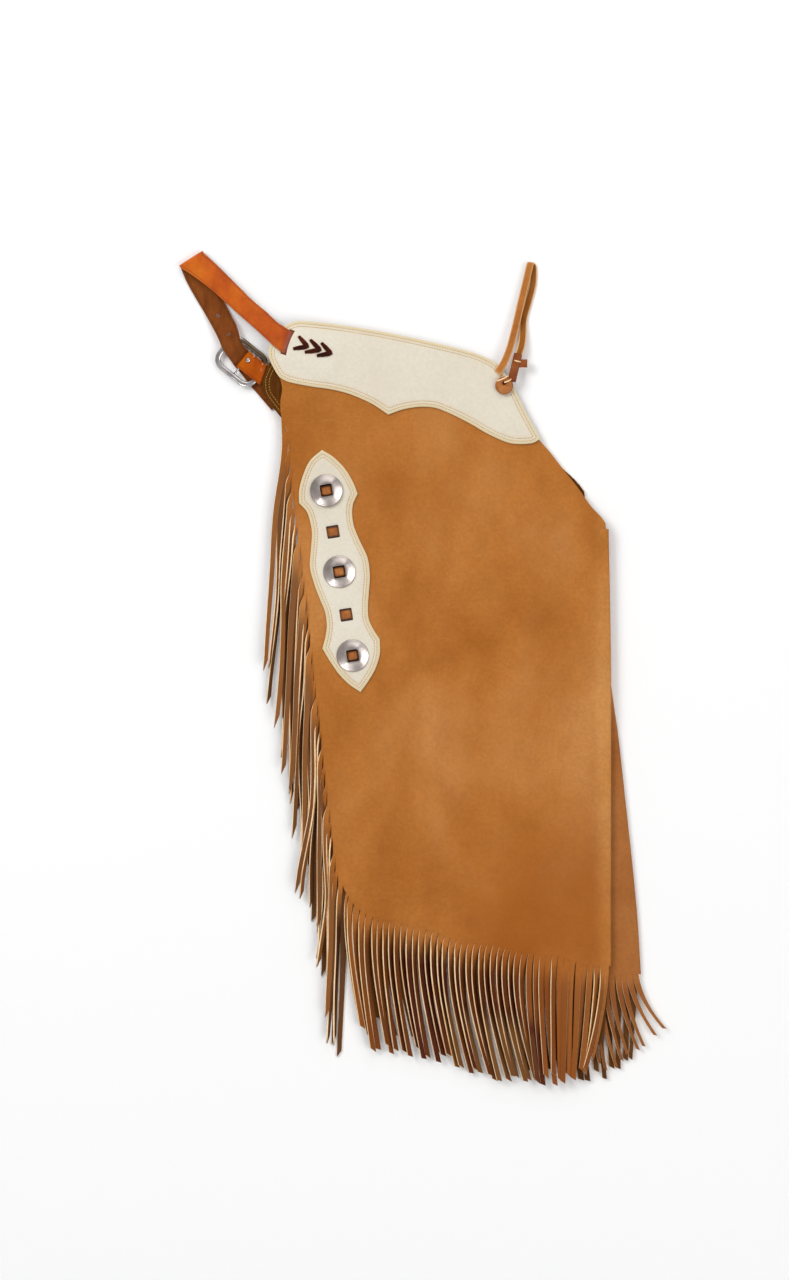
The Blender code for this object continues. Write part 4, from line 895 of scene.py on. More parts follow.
def hem_paths(roots, shapes, levels, level_side, bunches, narrow, loose, dice):
    """Hanging strands. Narrow: share of the root's width at the end. Loose: how much they differ."""
    paths = []
    count = len(roots) - 1
    steps = 15
    for i in range(count):
        ax, ay, az = roots[i]
        bx, by, bz = roots[i + 1]
        place = (i + 0.5) / count
        length, bow, drift, twist, dark = at_share(shapes, place)
        length *= dice.uniform(0.955, 1.045)
        low, lift = levels
        wild = loose * fade(place, (0.67, 0.73))
        drift += dice.uniform(-1, 1) * (0.8 + 3.2 * wild)
        drift += bunch_pull(bunches, i, 0.3) * (bx - ax)
        bow += dice.uniform(-1, 1) * (0.6 + 2.0 * wild)
        twist = math.radians(twist + dice.uniform(-9, 9) + wild * dice.choice((-22, -6, 4, 18, 24)))
        dark = min(max(dark + dice.uniform(-0.15, 0.1 + 0.25 * wild), 0.0), 1.0)
        olive = loose * dice.choice((0.0, 0.55, 0.8, 0.95)) * fade(place, (0.28, 0.36)) * (1.0 - wild)
        rest = low + level_side(ax) + lift * (i % 2)
        path = []
        for k in range(steps):
            share = ((k + 0.3) / (steps - 0.7)) ** 1.3
            x = (ax + bx) / 2 + bow * math.sin(math.pi * share ** 0.6) + drift * share ** DRIFT_POWER
            y = (ay + by) / 2 - length * share
            half = (bx - ax) / 2 * mix(0.97, narrow, fade(share, (0.1, 0.8)))
            turn = twist * fade(share, (-0.02, 0.16)) * mix(1.0, 0.6, fade(share, (0.6, 1.0)))
            height = mix((az + bz) / 2, rest, fade(share, (0.0, 0.3)))
            # Painted shade: the strand darkens below its root, where the shade between strands falls
            shade = dark * fade(share, (0.04, 0.26))
            shade = mix(shade, 1.0 + olive, fade(share, (0.42, 0.66))) if olive else shade
            path.append((Vector((x, y, height)), half, turn, shade))
        paths.append(path)
    return paths


# Side strands that hang apart from the rest. Columns: number, shift at half its length, shift at its end
SIDE_APART = (
    (0, -3.5, -7.0), (1, -1.5, -3.0), (2, 0.0, -9.0), (4, 0.0, 2.0), (7, 0.0, 4.0), (9, 0.0, -4.0), (11, 2.0, 5.0),
    (12, 2.0, 4.0), (13, 3.0, 5.0), (15, 1.0, -10.0), (16, 1.0, -8.0), (18, 2.0, 5.0), (19, 2.0, 4.0),
    (21, 0.0, -4.0), (22, 1.0, 3.0),
)
# How every third strand of the side lies. Columns: height, turn in degrees, darkness (up to 1 the flesh side's brown,
# above 1 painted shade on the lower strands)
SIDE_TURNS = ((9.4, 22, 0.9), (6.6, 46, 1.2), (4.9, 54, 1.7))
FAR_SIDE_TURNS = ((1.4, 4, 1.4),)


def side_paths(roots, lengths, turns, apart, dice):
    """Strands cut from the side, which droop over each other in a bunch."""
    paths = []
    count = len(roots) - 1
    shifts = {row[0]: row[1:] for row in apart}
    for i in range(count):
        ax, ay, az = roots[i]
        bx, by, bz = roots[i + 1]
        near = len(turns) > 1
        length = mix(lengths[0], lengths[1], i / count) * dice.uniform(0.84 if near else 0.93, 1.05)
        lean = SIDE_LEAN + dice.uniform(-0.001, 0.001)
        rest, turn_to, dark = turns[i % len(turns)]
        turn_to += 20.0 * fade(i / count, (0.55, 0.75)) * near
        narrow = bx - ax + SIDE_LEAN * (ay - by)
        even = mix(roots[0][0], roots[-1][0], (roots[0][1] - by) / (roots[0][1] - roots[-1][1]))
        turn_to = math.radians(turn_to + dice.uniform(-10, 10) * near)
        dark += dice.uniform(-0.25, 0.25)
        wave = dice.uniform(-2.8, 2.8) if near else dice.uniform(-0.6, 0.6)
        stray = dice.uniform(-4.5, 4.5) * near
        middle_shift, end_shift = shifts.get(i, (0.0, stray))
        path = []
        depths = [1.5, 4.0, 8.0, 13.0, 20.0, 28.0, 38.0, 50.0]
        depths += [mix(50.0, length, k / 14) for k in range(1, 15)]
        for depth in depths:
            settled = fade(depth, SIDE_SETTLE)
            share = depth / length
            root_width = max(narrow * 0.8, mix(narrow * 0.8, 7.2, fade(depth, (2.0, 20.0)))) if near else narrow * 0.8
            width = mix(root_width, SIDE_WIDTH * mix(1.12, 0.85, share), settled)
            right = mix(bx + 0.3, even, settled) - lean * depth
            right += wave * math.sin(depth / 42.0 + i) * settled
            right += mix(0.0, middle_shift, fade(share, (0.08, 0.35)))
            right += mix(0.0, end_shift - middle_shift, fade(share, (0.5, 1.0)))
            height = mix((az + bz) / 2, rest, fade(depth, (0.0, 26.0)))
            turn = turn_to * fade(depth, (0.0, 16.0)) * (1.0 - 0.35 * math.sin(depth / 55.0 + i))
            # Toward the flesh side's brown, and past it painted shade on the lower strands
            shade = dark * fade(depth, (14.0, 52.0)) if near else dark
            path.append((Vector((right - width / 2, by - depth, height)), width / 2, turn, shade))
        paths.append(path)
    return paths


def side_share(start):
    return lambda share: mix(start, SIDE_END, share)


def hem_share(share):
    return min(max(share, HEM_ENDS[0]), HEM_ENDS[1])


def no_rise(x):
    return 0.0


def near_rise(x):
    return 4.8 * fade(x, (30.0, 140.0))


FLESH_UP = [FLESH, HEM_GRAIN, CUT_EDGE]
dice = random.Random(7)
roots = roots_on(NEAR_EDGES, 2, NEAR_SIDE_STRANDS, side_share(NEAR_SIDE_START), near_leg_bottom, crease_height)
paths = side_paths(roots, SIDE_LENGTHS, SIDE_TURNS, SIDE_APART, dice)
near_side = build_fringe("near_side_strands", roots, paths, -13.0, "near_side_fringe", [SIDE_GRAIN, FLESH, CUT_EDGE])
roots = roots_on(FAR_EDGES, 2, FAR_SIDE_STRANDS, side_share(FAR_FIRST_ROW / LEG_ROWS), far_leg_bottom)
paths = side_paths(roots, SIDE_LENGTHS, FAR_SIDE_TURNS, (), dice)
far_side = build_fringe("far_side_strands", roots, paths, -10.0, "far_side_fringe", [SIDE_GRAIN, FLESH, CUT_EDGE])
roots = roots_on(NEAR_EDGES, 3, NEAR_HEM_STRANDS, hem_share, near_leg_bottom, crease_height)
paths = hem_paths(roots, NEAR_HEM_SHAPES, (6.4, 2.6), near_rise, HEM_BUNCHES, 0.84, 1.0, dice)
near_hem = build_fringe("near_hem_strands", roots, paths, 4.5, "near_hem_fringe", [HEM_GRAIN, FLESH, CUT_EDGE])
roots = roots_on(FAR_EDGES, 3, FAR_HEM_STRANDS, hem_share, far_leg_bottom)
paths = hem_paths(roots, FAR_HEM_SHAPES, (1.8, 2.1), no_rise, FAR_HEM_BUNCHES, 0.55, 0.0, dice)
far_hem = build_fringe("far_hem_strands", roots, paths, 3.0, "far_hem_fringe", FLESH_UP)
roots = flap_roots(NEAR_HEM, NEAR_FLAP_STRANDS, near_leg_bottom, -1)
paths = hem_paths(roots, NEAR_FLAP_SHAPES, (8.45, 0.0), no_rise, (0, 3, 6, 8), 0.7, 0.0, dice)
near_flap = build_fringe("near_flap_strands", roots, paths, 3.0, "near_flap_fringe", FLESH_UP)
roots = flap_roots(FAR_HEM, FAR_FLAP_STRANDS, far_leg_bottom, 1)
paths = hem_paths(roots, FAR_FLAP_SHAPES, (6.2, 0.0), no_rise, (0, 2, 5, 7, 9), 0.5, 0.0, dice)
far_flap = build_fringe("far_flap_strands", roots, paths, 3.0, "far_flap_fringe", [FAR_HEM_GRAIN, FLESH, CUT_EDGE])


# Cut pieces that lie flat: yokes and plate


def smooth_outline(rows, step):
    """A closed outline through the rows, smooth but for its sharp turns."""
    count = len(rows)
    places = [Vector(r[:2]) for r in rows]
    made = []
    for i in range(count):
        a = places[i]
        b = places[(i + 1) % count]
        before = 2 * a - b if rows[i][2] else places[i - 1]
        after = 2 * b - a if rows[(i + 1) % count][2] else places[(i + 2) % count]
        reach = (b - a).length
        before = a + (before - a).normalized() * min((before - a).length, reach)
        after = b + (after - b).normalized() * min((after - b).length, reach)
        steps = max(1, round(reach / step))
        made += [tuple(curved(before, a, b, after, k / steps)) for k in range(steps)]
    return made


def edge_distances(outline, points):
    """Distance of each point from the outline."""
    a = np.array(outline)
    b = np.roll(a, -1, axis=0)
    run = b - a
    lengths = (run ** 2).sum(axis=1)
    found = []
    for p in np.array(points).reshape(-1, 2):
        reach = p - a
        share = np.clip((reach * run).sum(axis=1) / lengths, 0, 1)
        found.append(np.sqrt(((reach - run * share[:, None]) ** 2).sum(axis=1)).min())
    return np.array(found)


def inside(outline, x, y):
    found = False
    for (ax, ay), (bx, by) in zip(outline, outline[1:] + outline[:1]):
        if (ay > y) != (by > y) and x < ax + (bx - ax) * (y - ay) / (by - ay):
            found = not found
    return found


def offset_ring(outline, distance, sign):
    """Points this far inside the outline, in order, without those that a sharp turn brings too near."""
    count = len(outline)
    made = []
    for i in range(count):
        before = Vector(outline[i - 1])
        after = Vector(outline[(i + 1) % count])
        forward = (after - before).normalized()
        made.append(Vector(outline[i]) + Vector((-forward.y, forward.x)) * distance * sign)
    away = edge_distances(outline, [tuple(p) for p in made])
    return [tuple(p) for p, d in zip(made, away) if d > distance * 0.97]


def turn_sign(outline):
    area = sum(a[0] * b[1] - b[0] * a[1] for a, b in zip(outline, outline[1:] + outline[:1]))
    return 1 if area > 0 else -1


def flat_piece(name, outline, holes, spacing, bottom, thickness, grooves, materials, crown=0.0):
    """Cut leather with a soft edge, and a groove pressed along each row of stitches."""
    sign = turn_sign(outline)
    rings = [0.45, 1.1, 2.2] + [g + d for g in grooves for d in (-0.5, 0.0, 0.5)]
    flat = list(outline)
    for hole in holes:
        flat += hole
    edges = []
    first = 0
    for ring in [outline] + holes:
        edges += [(first + i, first + (i + 1) % len(ring)) for i in range(len(ring))]
        first += len(ring)
    inner = []
    for distance in rings:
        inner += offset_ring(outline, distance, sign)
    xs = [p[0] for p in outline]
    ys = [p[1] for p in outline]
    cells = []
    for row in range(math.floor(min(ys) / spacing), math.ceil(max(ys) / spacing)):
        for column in range(math.floor(min(xs) / spacing), math.ceil(max(xs) / spacing)):
            cells.append((column * spacing + spacing / 2 * (row % 2), row * spacing))
    clear = edge_distances(outline, cells) > max(rings) + 1.0
    inner += [p for p, ok in zip(cells, clear) if ok and inside(outline, *p)]
    for hole in holes:
        away = edge_distances(hole, inner)
        inner = [p for p, d in zip(inner, away) if d > 0.8 and not inside(hole, *p)]
    made = delaunay_2d_cdt([Vector(p) for p in flat + inner], edges, [], 1, 1e-4)
    places = [(p.x, p.y) for p in made[0]]
    away = edge_distances(outline, places)
    near_hole = np.full(len(places), 99.0)
    for hole in holes:
        near_hole = np.minimum(near_hole, edge_distances(hole, places))
    tops = []
    for (x, y), d, h in zip(places, away, near_hole):
        drop = 0.55 * (1.0 - fade(min(d, h), (0.0, 1.3)))
        for groove in grooves:
            drop += 0.28 * max(0.0, 1.0 - abs(d - groove) / 0.75)
        uneven = 0.25 * noise.noise(Vector((x, y, 3.0)) * 0.03)
        tops.append((x, y, bottom(x, y) + thickness - drop + crown * fade(d, (0.0, 12.0)) + uneven * fade(d, (0.0, 8.0))))
    points = tops + [(x, y, bottom(x, y)) for x, y in places]
    back = len(places)
    top = []
    for face in made[2]:
        x = sum(places[i][0] for i in face) / 3
        y = sum(places[i][1] for i in face) / 3
        if not any(inside(hole, x, y) for hole in holes):
            top.append(tuple(face))
    sides = {(a, b) for face in top for a, b in zip(face, face[1:] + face[:1])}
    faces = top + [tuple(back + i for i in reversed(face)) for face in top]
    rim = [(b, a, back + a, back + b) for a, b in sorted(sides) if (b, a) not in sides]
    slots = [0] * len(top) + [1] * len(top) + [2] * len(rim)
    border = grooves[0] if grooves else 0.5
    shades = [1.0 - fade(d, (border - 0.6, border + 0.4)) for d in away]
    shades = [s + 0.3 * (1.0 - s) * (1.0 - fade(d, (6.6, 7.4))) for s, d in zip(shades, away)]
    piece = new_object(name, points, faces + rim, materials, slots, True, shades * 2)
    mark_sharp(piece, 60)
    return piece


def walk(path, pitch, closed):
    """Places at an even pitch along a path, each with its direction."""
    ends = path + path[:1] if closed else path
    made = []
    left = pitch / 2
    for a, b in zip(ends, ends[1:]):
        a = Vector(a)
        b = Vector(b)
        run = (b - a).length
        if run < 1e-6 or run > 12.0:
            left = pitch / 2
            continue
        while left <= run:
            made.append((a.lerp(b, left / run), (b - a) / run))
            left += pitch
        left -= run
    return made


def add_stitches(points, faces, rows, height, pitch, length, width, rise):
    """Small thread humps, each sunk at both ends."""
    sides = 6
    shape = ((-0.5, 0.55, -0.25), (-0.32, 0.95, 0.75), (0.0, 1.0, 1.0), (0.32, 0.95, 0.75), (0.5, 0.55, -0.25))
    for place, forward in rows:
        side = Vector((-forward.y, forward.x, 0))
        along = Vector((forward.x, forward.y, 0))
        first = len(points)
        for share, wide, up in shape:
            x = place.x + forward.x * share * length
            y = place.y + forward.y * share * length
            z = height(x, y) + up * rise - 0.25
            for k in range(sides):
                angle = 2 * math.pi * k / sides
                points.append(
                    Vector((x, y, z)) + side * width / 2 * wide * math.cos(angle)
                    + Vector((0, 0, width / 2 * wide * math.sin(angle)))
                )
        for i in range(len(shape) - 1):
            for k in range(sides):
                a = first + i * sides + k
                b = first + i * sides + (k + 1) % sides
                faces.append((a, a + sides, b + sides, b))
        faces.append(tuple(first + k for k in reversed(range(sides))))
        faces.append(tuple(first + (len(shape) - 1) * sides + k for k in range(sides)))


def stitched(name, outline, grooves, height, slot, material, only=None):
    points = []
    faces = []
    sign = turn_sign(outline)
    for groove in grooves:
        rows = walk(offset_ring(outline, groove, sign), 3.1, True)
        if only:
            rows = [r for r in rows if only(r[0].x, r[0].y)]
        add_stitches(points, faces, rows, height, 3.1, 2.5, 0.85, 0.42)
    piece = new_object(name, points, faces, [material])
    return finish_piece(piece, slot)


YOKE_GROOVES = (3.3, 6.4)


def slot_point(inward, along):
    x = SLOT_MIDDLE[0] + inward * SLOT_IN[0] - along * SLOT_IN[1]
    y = SLOT_MIDDLE[1] + inward * SLOT_IN[1] + along * SLOT_IN[0]
    return x, y


def slot_hole():
    """The slot, bowed a little where the strap goes in."""
    w = SLOT_HALF_WIDTH
    h = SLOT_HALF_LENGTH
    left = [slot_point(-w, h * (1 - 2 * i / 10)) for i in range(11)]
    right = []
    for i in range(11):
        s = -1 + 2 * i / 10
        right.append(slot_point(w - 1.6 * (1 - s * s), h * s))
    return left + right


near_yoke_outline = smooth_outline(NEAR_YOKE, 2.2)
near_yoke = flat_piece(
    "near_yoke_leather", near_yoke_outline, [slot_hole()], 5.0, near_yoke_bottom, WALL, YOKE_GROOVES,
    [CREAM, FLESH, CREAM_EDGE],
)
finish_piece(near_yoke, "cream_leather", "near_yoke")
near_yoke_stitches = stitched(
    "near_yoke_stitches", near_yoke_outline, YOKE_GROOVES, lambda x, y: near_yoke_top(x, y) - 0.2, "cream_leather", BEIGE_THREAD
)
far_yoke = flat_piece(
    "far_yoke_leather", smooth_outline(FAR_YOKE, 3.0), [], 9.0, belt_rise, WALL, (), [FLESH, CREAM, CREAM_EDGE]
)
finish_piece(far_yoke, "cream_leather", "far_yoke")


def plate_point(along, across):
    x = PLATE_MIDDLE[0] + along * math.sin(PLATE_TILT) + across * math.cos(PLATE_TILT)
    y = PLATE_MIDDLE[1] - along * math.cos(PLATE_TILT) + across * math.sin(PLATE_TILT)
    return x, y


def plate_square(along, half, corner=1.2):
    """A square window with small round corners."""
    made = []
    for turn in range(4):
        for k in range(4):
            angle = math.radians(90 * turn + 30 * k)
            a = math.copysign(half - corner, math.cos(math.radians(90 * turn + 45))) + corner * math.cos(angle)
            b = math.copysign(half - corner, math.sin(math.radians(90 * turn + 45))) + corner * math.sin(angle)
            made.append(plate_point(along + a, WINDOW_ACROSS + b))
    return made


plate_rows = [(*plate_point(a, r), sharp) for a, r, l, sharp in PLATE_SIDES]
plate_rows += [(*plate_point(a, -l), sharp) for a, r, l, sharp in PLATE_SIDES[-2:0:-1]]
plate_outline = smooth_outline(plate_rows, 2.0)
windows = [plate_square(a, WINDOW_HALF) for a in CONCHO_ALONG + WINDOW_ALONG]
near_plate = flat_piece(
    "near_plate_leather", plate_outline, windows, 4.5, plate_bottom, WALL, (3.6, 6.4), [CREAM, FLESH, CREAM_EDGE]
)
finish_piece(near_plate, "cream_leather", "near_plate")
near_plate_stitches = stitched(
    "near_plate_stitches", plate_outline, (3.6, 6.4), lambda x, y: plate_bottom(x, y) + WALL - 0.2, "cream_leather", BEIGE_THREAD
)


# Conchos and thongs


def concho(number, along):
    points = []
    faces = []
    sides = 96
    inner = [CONCHO_WINDOW_HALF, 2.0]
    rings = []
    for share, height in CONCHO_SHAPE:
        ring = []
        for k in range(sides):
            angle = 2 * math.pi * (k + 0.5) / sides
            c = math.cos(angle)
            s = math.sin(angle)
            square = inner[0] / (abs(c) ** 8 + abs(s) ** 8) ** 0.125
            reach = mix(CONCHO_RADIUS, square, share)
            ring.append((*plate_point(along + reach * s, WINDOW_ACROSS + reach * c), height))
        rings.append(ring)
    base = max(plate_bottom(x, y) for x, y, h in rings[0]) + WALL + GAP
    for ring in rings:
        points += [(x, y, base + h) for x, y, h in ring]
    under = ((1.0, 2.6), (0.5, 1.6), (0.0, 0.0))
    for share, height in under[:2]:
        for k in range(sides):
            angle = 2 * math.pi * (k + 0.5) / sides
            c = math.cos(angle)
            s = math.sin(angle)
            square = inner[0] / (abs(c) ** 8 + abs(s) ** 8) ** 0.125
            reach = mix(CONCHO_RADIUS - 0.6, square, share)
            points.append((*plate_point(along + reach * s, WINDOW_ACROSS + reach * c), base + height))
    total = len(rings) + 2
    for r in range(total):
        for k in range(sides):
            a = r * sides + k
            b = r * sides + (k + 1) % sides
            c = ((r + 1) % total) * sides + (k + 1) % sides
            d = ((r + 1) % total) * sides + k
            faces.append((a, b, c, d))
    piece = new_object(f"concho_{number}_silver", points, faces, [SILVER])
    edit = bmesh.new()
    edit.from_mesh(piece.data)
    bmesh.ops.recalc_face_normals(edit, faces=edit.faces[:])
    edit.to_mesh(piece.data)
    edit.free()
    mark_sharp(piece, 40)
    return finish_piece(piece, "steel", f"concho_{number}")


for i, along in enumerate(CONCHO_ALONG):
    concho(i + 1, along)


def thong(number, along):
    """The thong in a window: waisted, and bulging up between its two edges."""
    steps = 14
    grid = []
    shades = []
    for i in range(steps + 1):
        share = i / steps
        row = []
        for k in range(9):
            side = k / 4 - 1
            waist = mix(1.06, 0.84, math.sin(math.pi * share))
            # Painted shade: darker at both ends, where the thong dives under the plate, and along its sides
            shades.append(min(1.0, 1.1 * fade(abs(2 * share - 1), (0.42, 0.88)) + 0.5 * fade(abs(side), (0.8, 1.0))))
            x, y = plate_point(along + mix(-6.75, 6.75, share), WINDOW_ACROSS + side * 6.2 * waist)
            bulge = 1.7 * math.sin(math.pi * share) - 0.5 * side * side
            row.append(Vector((x, y, plate_bottom(x, y) + THONG_WALL / 2 + 0.5 + bulge)))
        grid.append(row)
    piece = sheet(f"thong_{number}_leather", grid, THONG_WALL, [THONG_GRAIN, FLESH, THONG_GRAIN], shades)
    return finish_piece(piece, "tan_leather", f"thong_{number}")


for i, along in enumerate(sorted(CONCHO_ALONG + WINDOW_ALONG)):
    thong(i + 1, along)


# Lacing


def arrow(number, upper, tip, lower):
    points = []
    faces = []
    slots = []
    turn = []
    upper = Vector(upper)
    tip = Vector(tip)
    lower = Vector(lower)
    for k in range(5):
        turn.append(upper.lerp(tip, k / 5))
    inner = tip + ((upper + lower) / 2 - tip) * 0.12
    for k in range(5):
        s = k / 4
        turn.append((tip.lerp(inner, 0.3) if k in (1, 2, 3) else tip).lerp(upper if k < 2 else lower, 0.06 * abs(k - 2)))
    for k in range(1, 6):
        turn.append(tip.lerp(lower, k / 5))
    for width, rise, height, slot in ((2.9, 0.45, 0.5, 1), (2.3, 0.8, 0.95, 0)):
        path = [Vector((p.x, p.y, near_yoke_top(p.x, p.y) + height)) for p in turn]
        before = len(faces)
        count = len(path)
        first = len(points)
        sides = 10
        for i, middle in enumerate(path):
            forward = (path[min(i + 1, count - 1)] - path[max(i - 1, 0)]).normalized()
            side = forward.cross(Vector((0, 0, 1))).normalized()
            share = i / (count - 1)
            thin = 0.62 + 0.38 * min(1.0, 6.0 * min(share, 1.0 - share))
            for k in range(sides):
                angle = 2 * math.pi * (k + 0.5) / sides
                points.append(middle + side * width * thin * math.cos(angle) + Vector((0, 0, rise * math.sin(angle))))
        for i in range(count - 1):
            for k in range(sides):
                a = first + i * sides + k
                b = first + i * sides + (k + 1) % sides
                faces.append((a, b, b + sides, a + sides))
        faces.append(tuple(first + k for k in range(sides)))
        faces.append(tuple(first + (count - 1) * sides + k for k in range(sides)))
        slots += [slot] * (len(faces) - before)
    piece = new_object(f"lacing_{number}_leather", points, faces, [LACING, LACING_EDGE], slots)
    edit = bmesh.new()
    edit.from_mesh(piece.data)
    bmesh.ops.recalc_face_normals(edit, faces=edit.faces[:])
    edit.to_mesh(piece.data)
    edit.free()
    return finish_piece(piece, "dark_lacing", f"lacing_{number}")


for i, (upper, tip, lower) in enumerate(ARROWS):
    arrow(i + 1, upper, tip, lower)


# Belt, billet and buckle


def lying_height(height, x, y, thickness):
    if height == "leg":
        return near_leg_top(x, y) + GAP + thickness / 2
    if height == "yoke":
        return near_leg_top(x, y) + YOKE_GAP + WALL + GAP + thickness / 2
    return height


def strap(name, stations, between, columns, thickness, materials, crown, lines, rim=0.02, painted_shade_rows=(0, 1)):
    """A strap with crowned faces and a creased line along each edge."""
    lefts = [Vector((s[0], s[1], lying_height(s[4], s[0], s[1], thickness))) for s in stations]
    rights = [Vector((s[2], s[3], lying_height(s[4], s[2], s[3], thickness))) for s in stations]
    grid = []
    count = len(stations)
    for i in range(count - 1):
        for k in range(between if i < count - 2 else between + 1):
            ends = []
            for line in (lefts, rights):
                before = line[i - 1] if i else 2 * line[0] - line[1]
                after = line[i + 2] if i + 2 < count else 2 * line[-1] - line[-2]
                reach = (line[i + 1] - line[i]).length
                before = line[i] + (before - line[i]).normalized() * min((before - line[i]).length, reach)
                after = line[i + 1] + (after - line[i + 1]).normalized() * min((after - line[i + 1]).length, reach)
                ends.append(curved(before, line[i], line[i + 1], after, k / between))
            grid.append([ends[0].lerp(ends[1], share) for share in columns])
    rows = len(grid)
    wide = len(columns)
    points = []
    shades = []
    for side in (1, -1):
        for r in range(rows):
            for c, share in enumerate(columns):
                down = grid[min(r + 1, rows - 1)][c] - grid[max(r - 1, 0)][c]
                across = grid[r][-1] - grid[r][0]
                out = across.cross(down).normalized() * -side
                edge = min(share, 1 - share)
                half = thickness / 2 + crown * (1 - (2 * share - 1) ** 4)
                if edge < 0.02:
                    half *= 0.62
                if abs(edge - lines) < 0.012:
                    half -= 0.3
                points.append(grid[r][c] + out * half)
                shade = 1.0 if edge < rim else 0.7 if abs(edge - lines) < 0.012 else 0.0
                # The first rows are painted darker: painted shade where the belt goes into the slot
                shades.append(max(shade, 0.85 * (1.0 - fade(r, painted_shade_rows))))
    back = rows * wide
    faces = []
    slots = []
    for r in range(rows - 1):
        for c in range(wide - 1):
            a = r * wide + c
            faces.append((a, a + wide, a + wide + 1, a + 1))
            faces.append((back + a, back + a + 1, back + a + wide + 1, back + a + wide))
            slots += [0, 1]
    border = list(range(wide))
    border += [r * wide + wide - 1 for r in range(1, rows)]
    border += [(rows - 1) * wide + c for c in range(wide - 2, -1, -1)]
    border += [r * wide for r in range(rows - 2, 0, -1)]
    for a, b in zip(border, border[1:] + border[:1]):
        faces.append((a, b, back + b, back + a))
        slots.append(2)
    piece = new_object(name, points, faces, materials, slots, True, shades)
    mark_sharp(piece, 55)
    return piece


STRAP_COLUMNS = (0.0, 0.02, 0.06, 0.09, 0.12, 0.2, 0.35, 0.5, 0.65, 0.8, 0.88, 0.91, 0.94, 0.98, 1.0)


def belt_stations():
    turn = []
    left_x, left_y, right_x, right_y = BELT_FOLD
    for k in range(7):
        angle = math.pi * k / 6
        out = BELT_FOLD_RADIUS * math.sin(angle)
        height = BELT_FOLD_TOP - BELT_FOLD_RADIUS * (1 - math.cos(angle))
        dx = out * BELT_FOLD_OUT[0]
        dy = out * BELT_FOLD_OUT[1]
        turn.append((left_x + dx, left_y + dy, right_x + dx, right_y + dy, height))
    swapped = [(rx, ry, lx, ly, z) for lx, ly, rx, ry, z in BELT_START]
    turned = [(rx, ry, lx, ly, z) for lx, ly, rx, ry, z in turn + list(BELT_END)]
    return swapped + turned


belt = strap("belt_leather", belt_stations(), 5, STRAP_COLUMNS, STRAP_WALL, [ORANGE, STRAP_FLESH, STRAP_EDGE], 0.12, 0.09, painted_shade_rows=(22, 28))
cutters = []
for x, y, radius in BELT_HOLES:
    bpy.ops.mesh.primitive_cylinder_add(vertices=24, radius=radius * MM, depth=0.03, location=(Vector((x, y, 6)) + SHIFT) * MM)
    cutter = bpy.context.active_object
    cut = belt.modifiers.new("hole", "BOOLEAN")
    cut.object = cutter
    cut.operation = "DIFFERENCE"
    cutters.append(cutter)
bpy.context.view_layer.update()
pierced = bpy.data.meshes.new_from_object(belt.evaluated_get(bpy.context.evaluated_depsgraph_get()))
belt.modifiers.clear()
belt.data = pierced
for cutter in cutters:
    bpy.data.objects.remove(cutter, do_unlink=True)
finish_piece(belt, "orange_leather", "belt")


def buckle_point(along, across, height):
    x = BUCKLE_MIDDLE[0] + along * BUCKLE_ALONG[0] + across * BUCKLE_ACROSS[0]
    y = BUCKLE_MIDDLE[1] + along * BUCKLE_ALONG[1] + across * BUCKLE_ACROSS[1]
    return Vector((x, y, height))


def billet_stations():
    radius = BUCKLE_BAR_RADIUS + GAP + STRAP_WALL / 2
    low, high = BILLET_UPPER_LENGTH
    rows = [(low * s, high * s, BUCKLE_HEIGHT + radius) for s in (1.0, 0.66, 0.33)]
    for k in range(7):
        angle = math.pi * k / 6
        out = -radius * math.sin(angle)
        rows.append((out, out, BUCKLE_HEIGHT + radius * math.cos(angle)))
    for share in (0.25, 0.5, 0.75, 1.0):
        out = BILLET_LOWER_LENGTH * share
        rows.append((out, out, BUCKLE_HEIGHT - radius))
    stations = []
    for low_out, high_out, height in rows:
        left = buckle_point(BUCKLE_BAR_ALONG + low_out, BILLET_ACROSS[0], height)
        right = buckle_point(BUCKLE_BAR_ALONG + high_out, BILLET_ACROSS[1], height)
        stations.append((left.x, left.y, right.x, right.y, height))
    return stations


billet = strap("billet_leather", billet_stations(), 4, STRAP_COLUMNS, STRAP_WALL, [BILLET_FLESH, BILLET_GRAIN, STRAP_EDGE], 0.1, 0.09)
finish_piece(billet, "orange_leather", "billet")


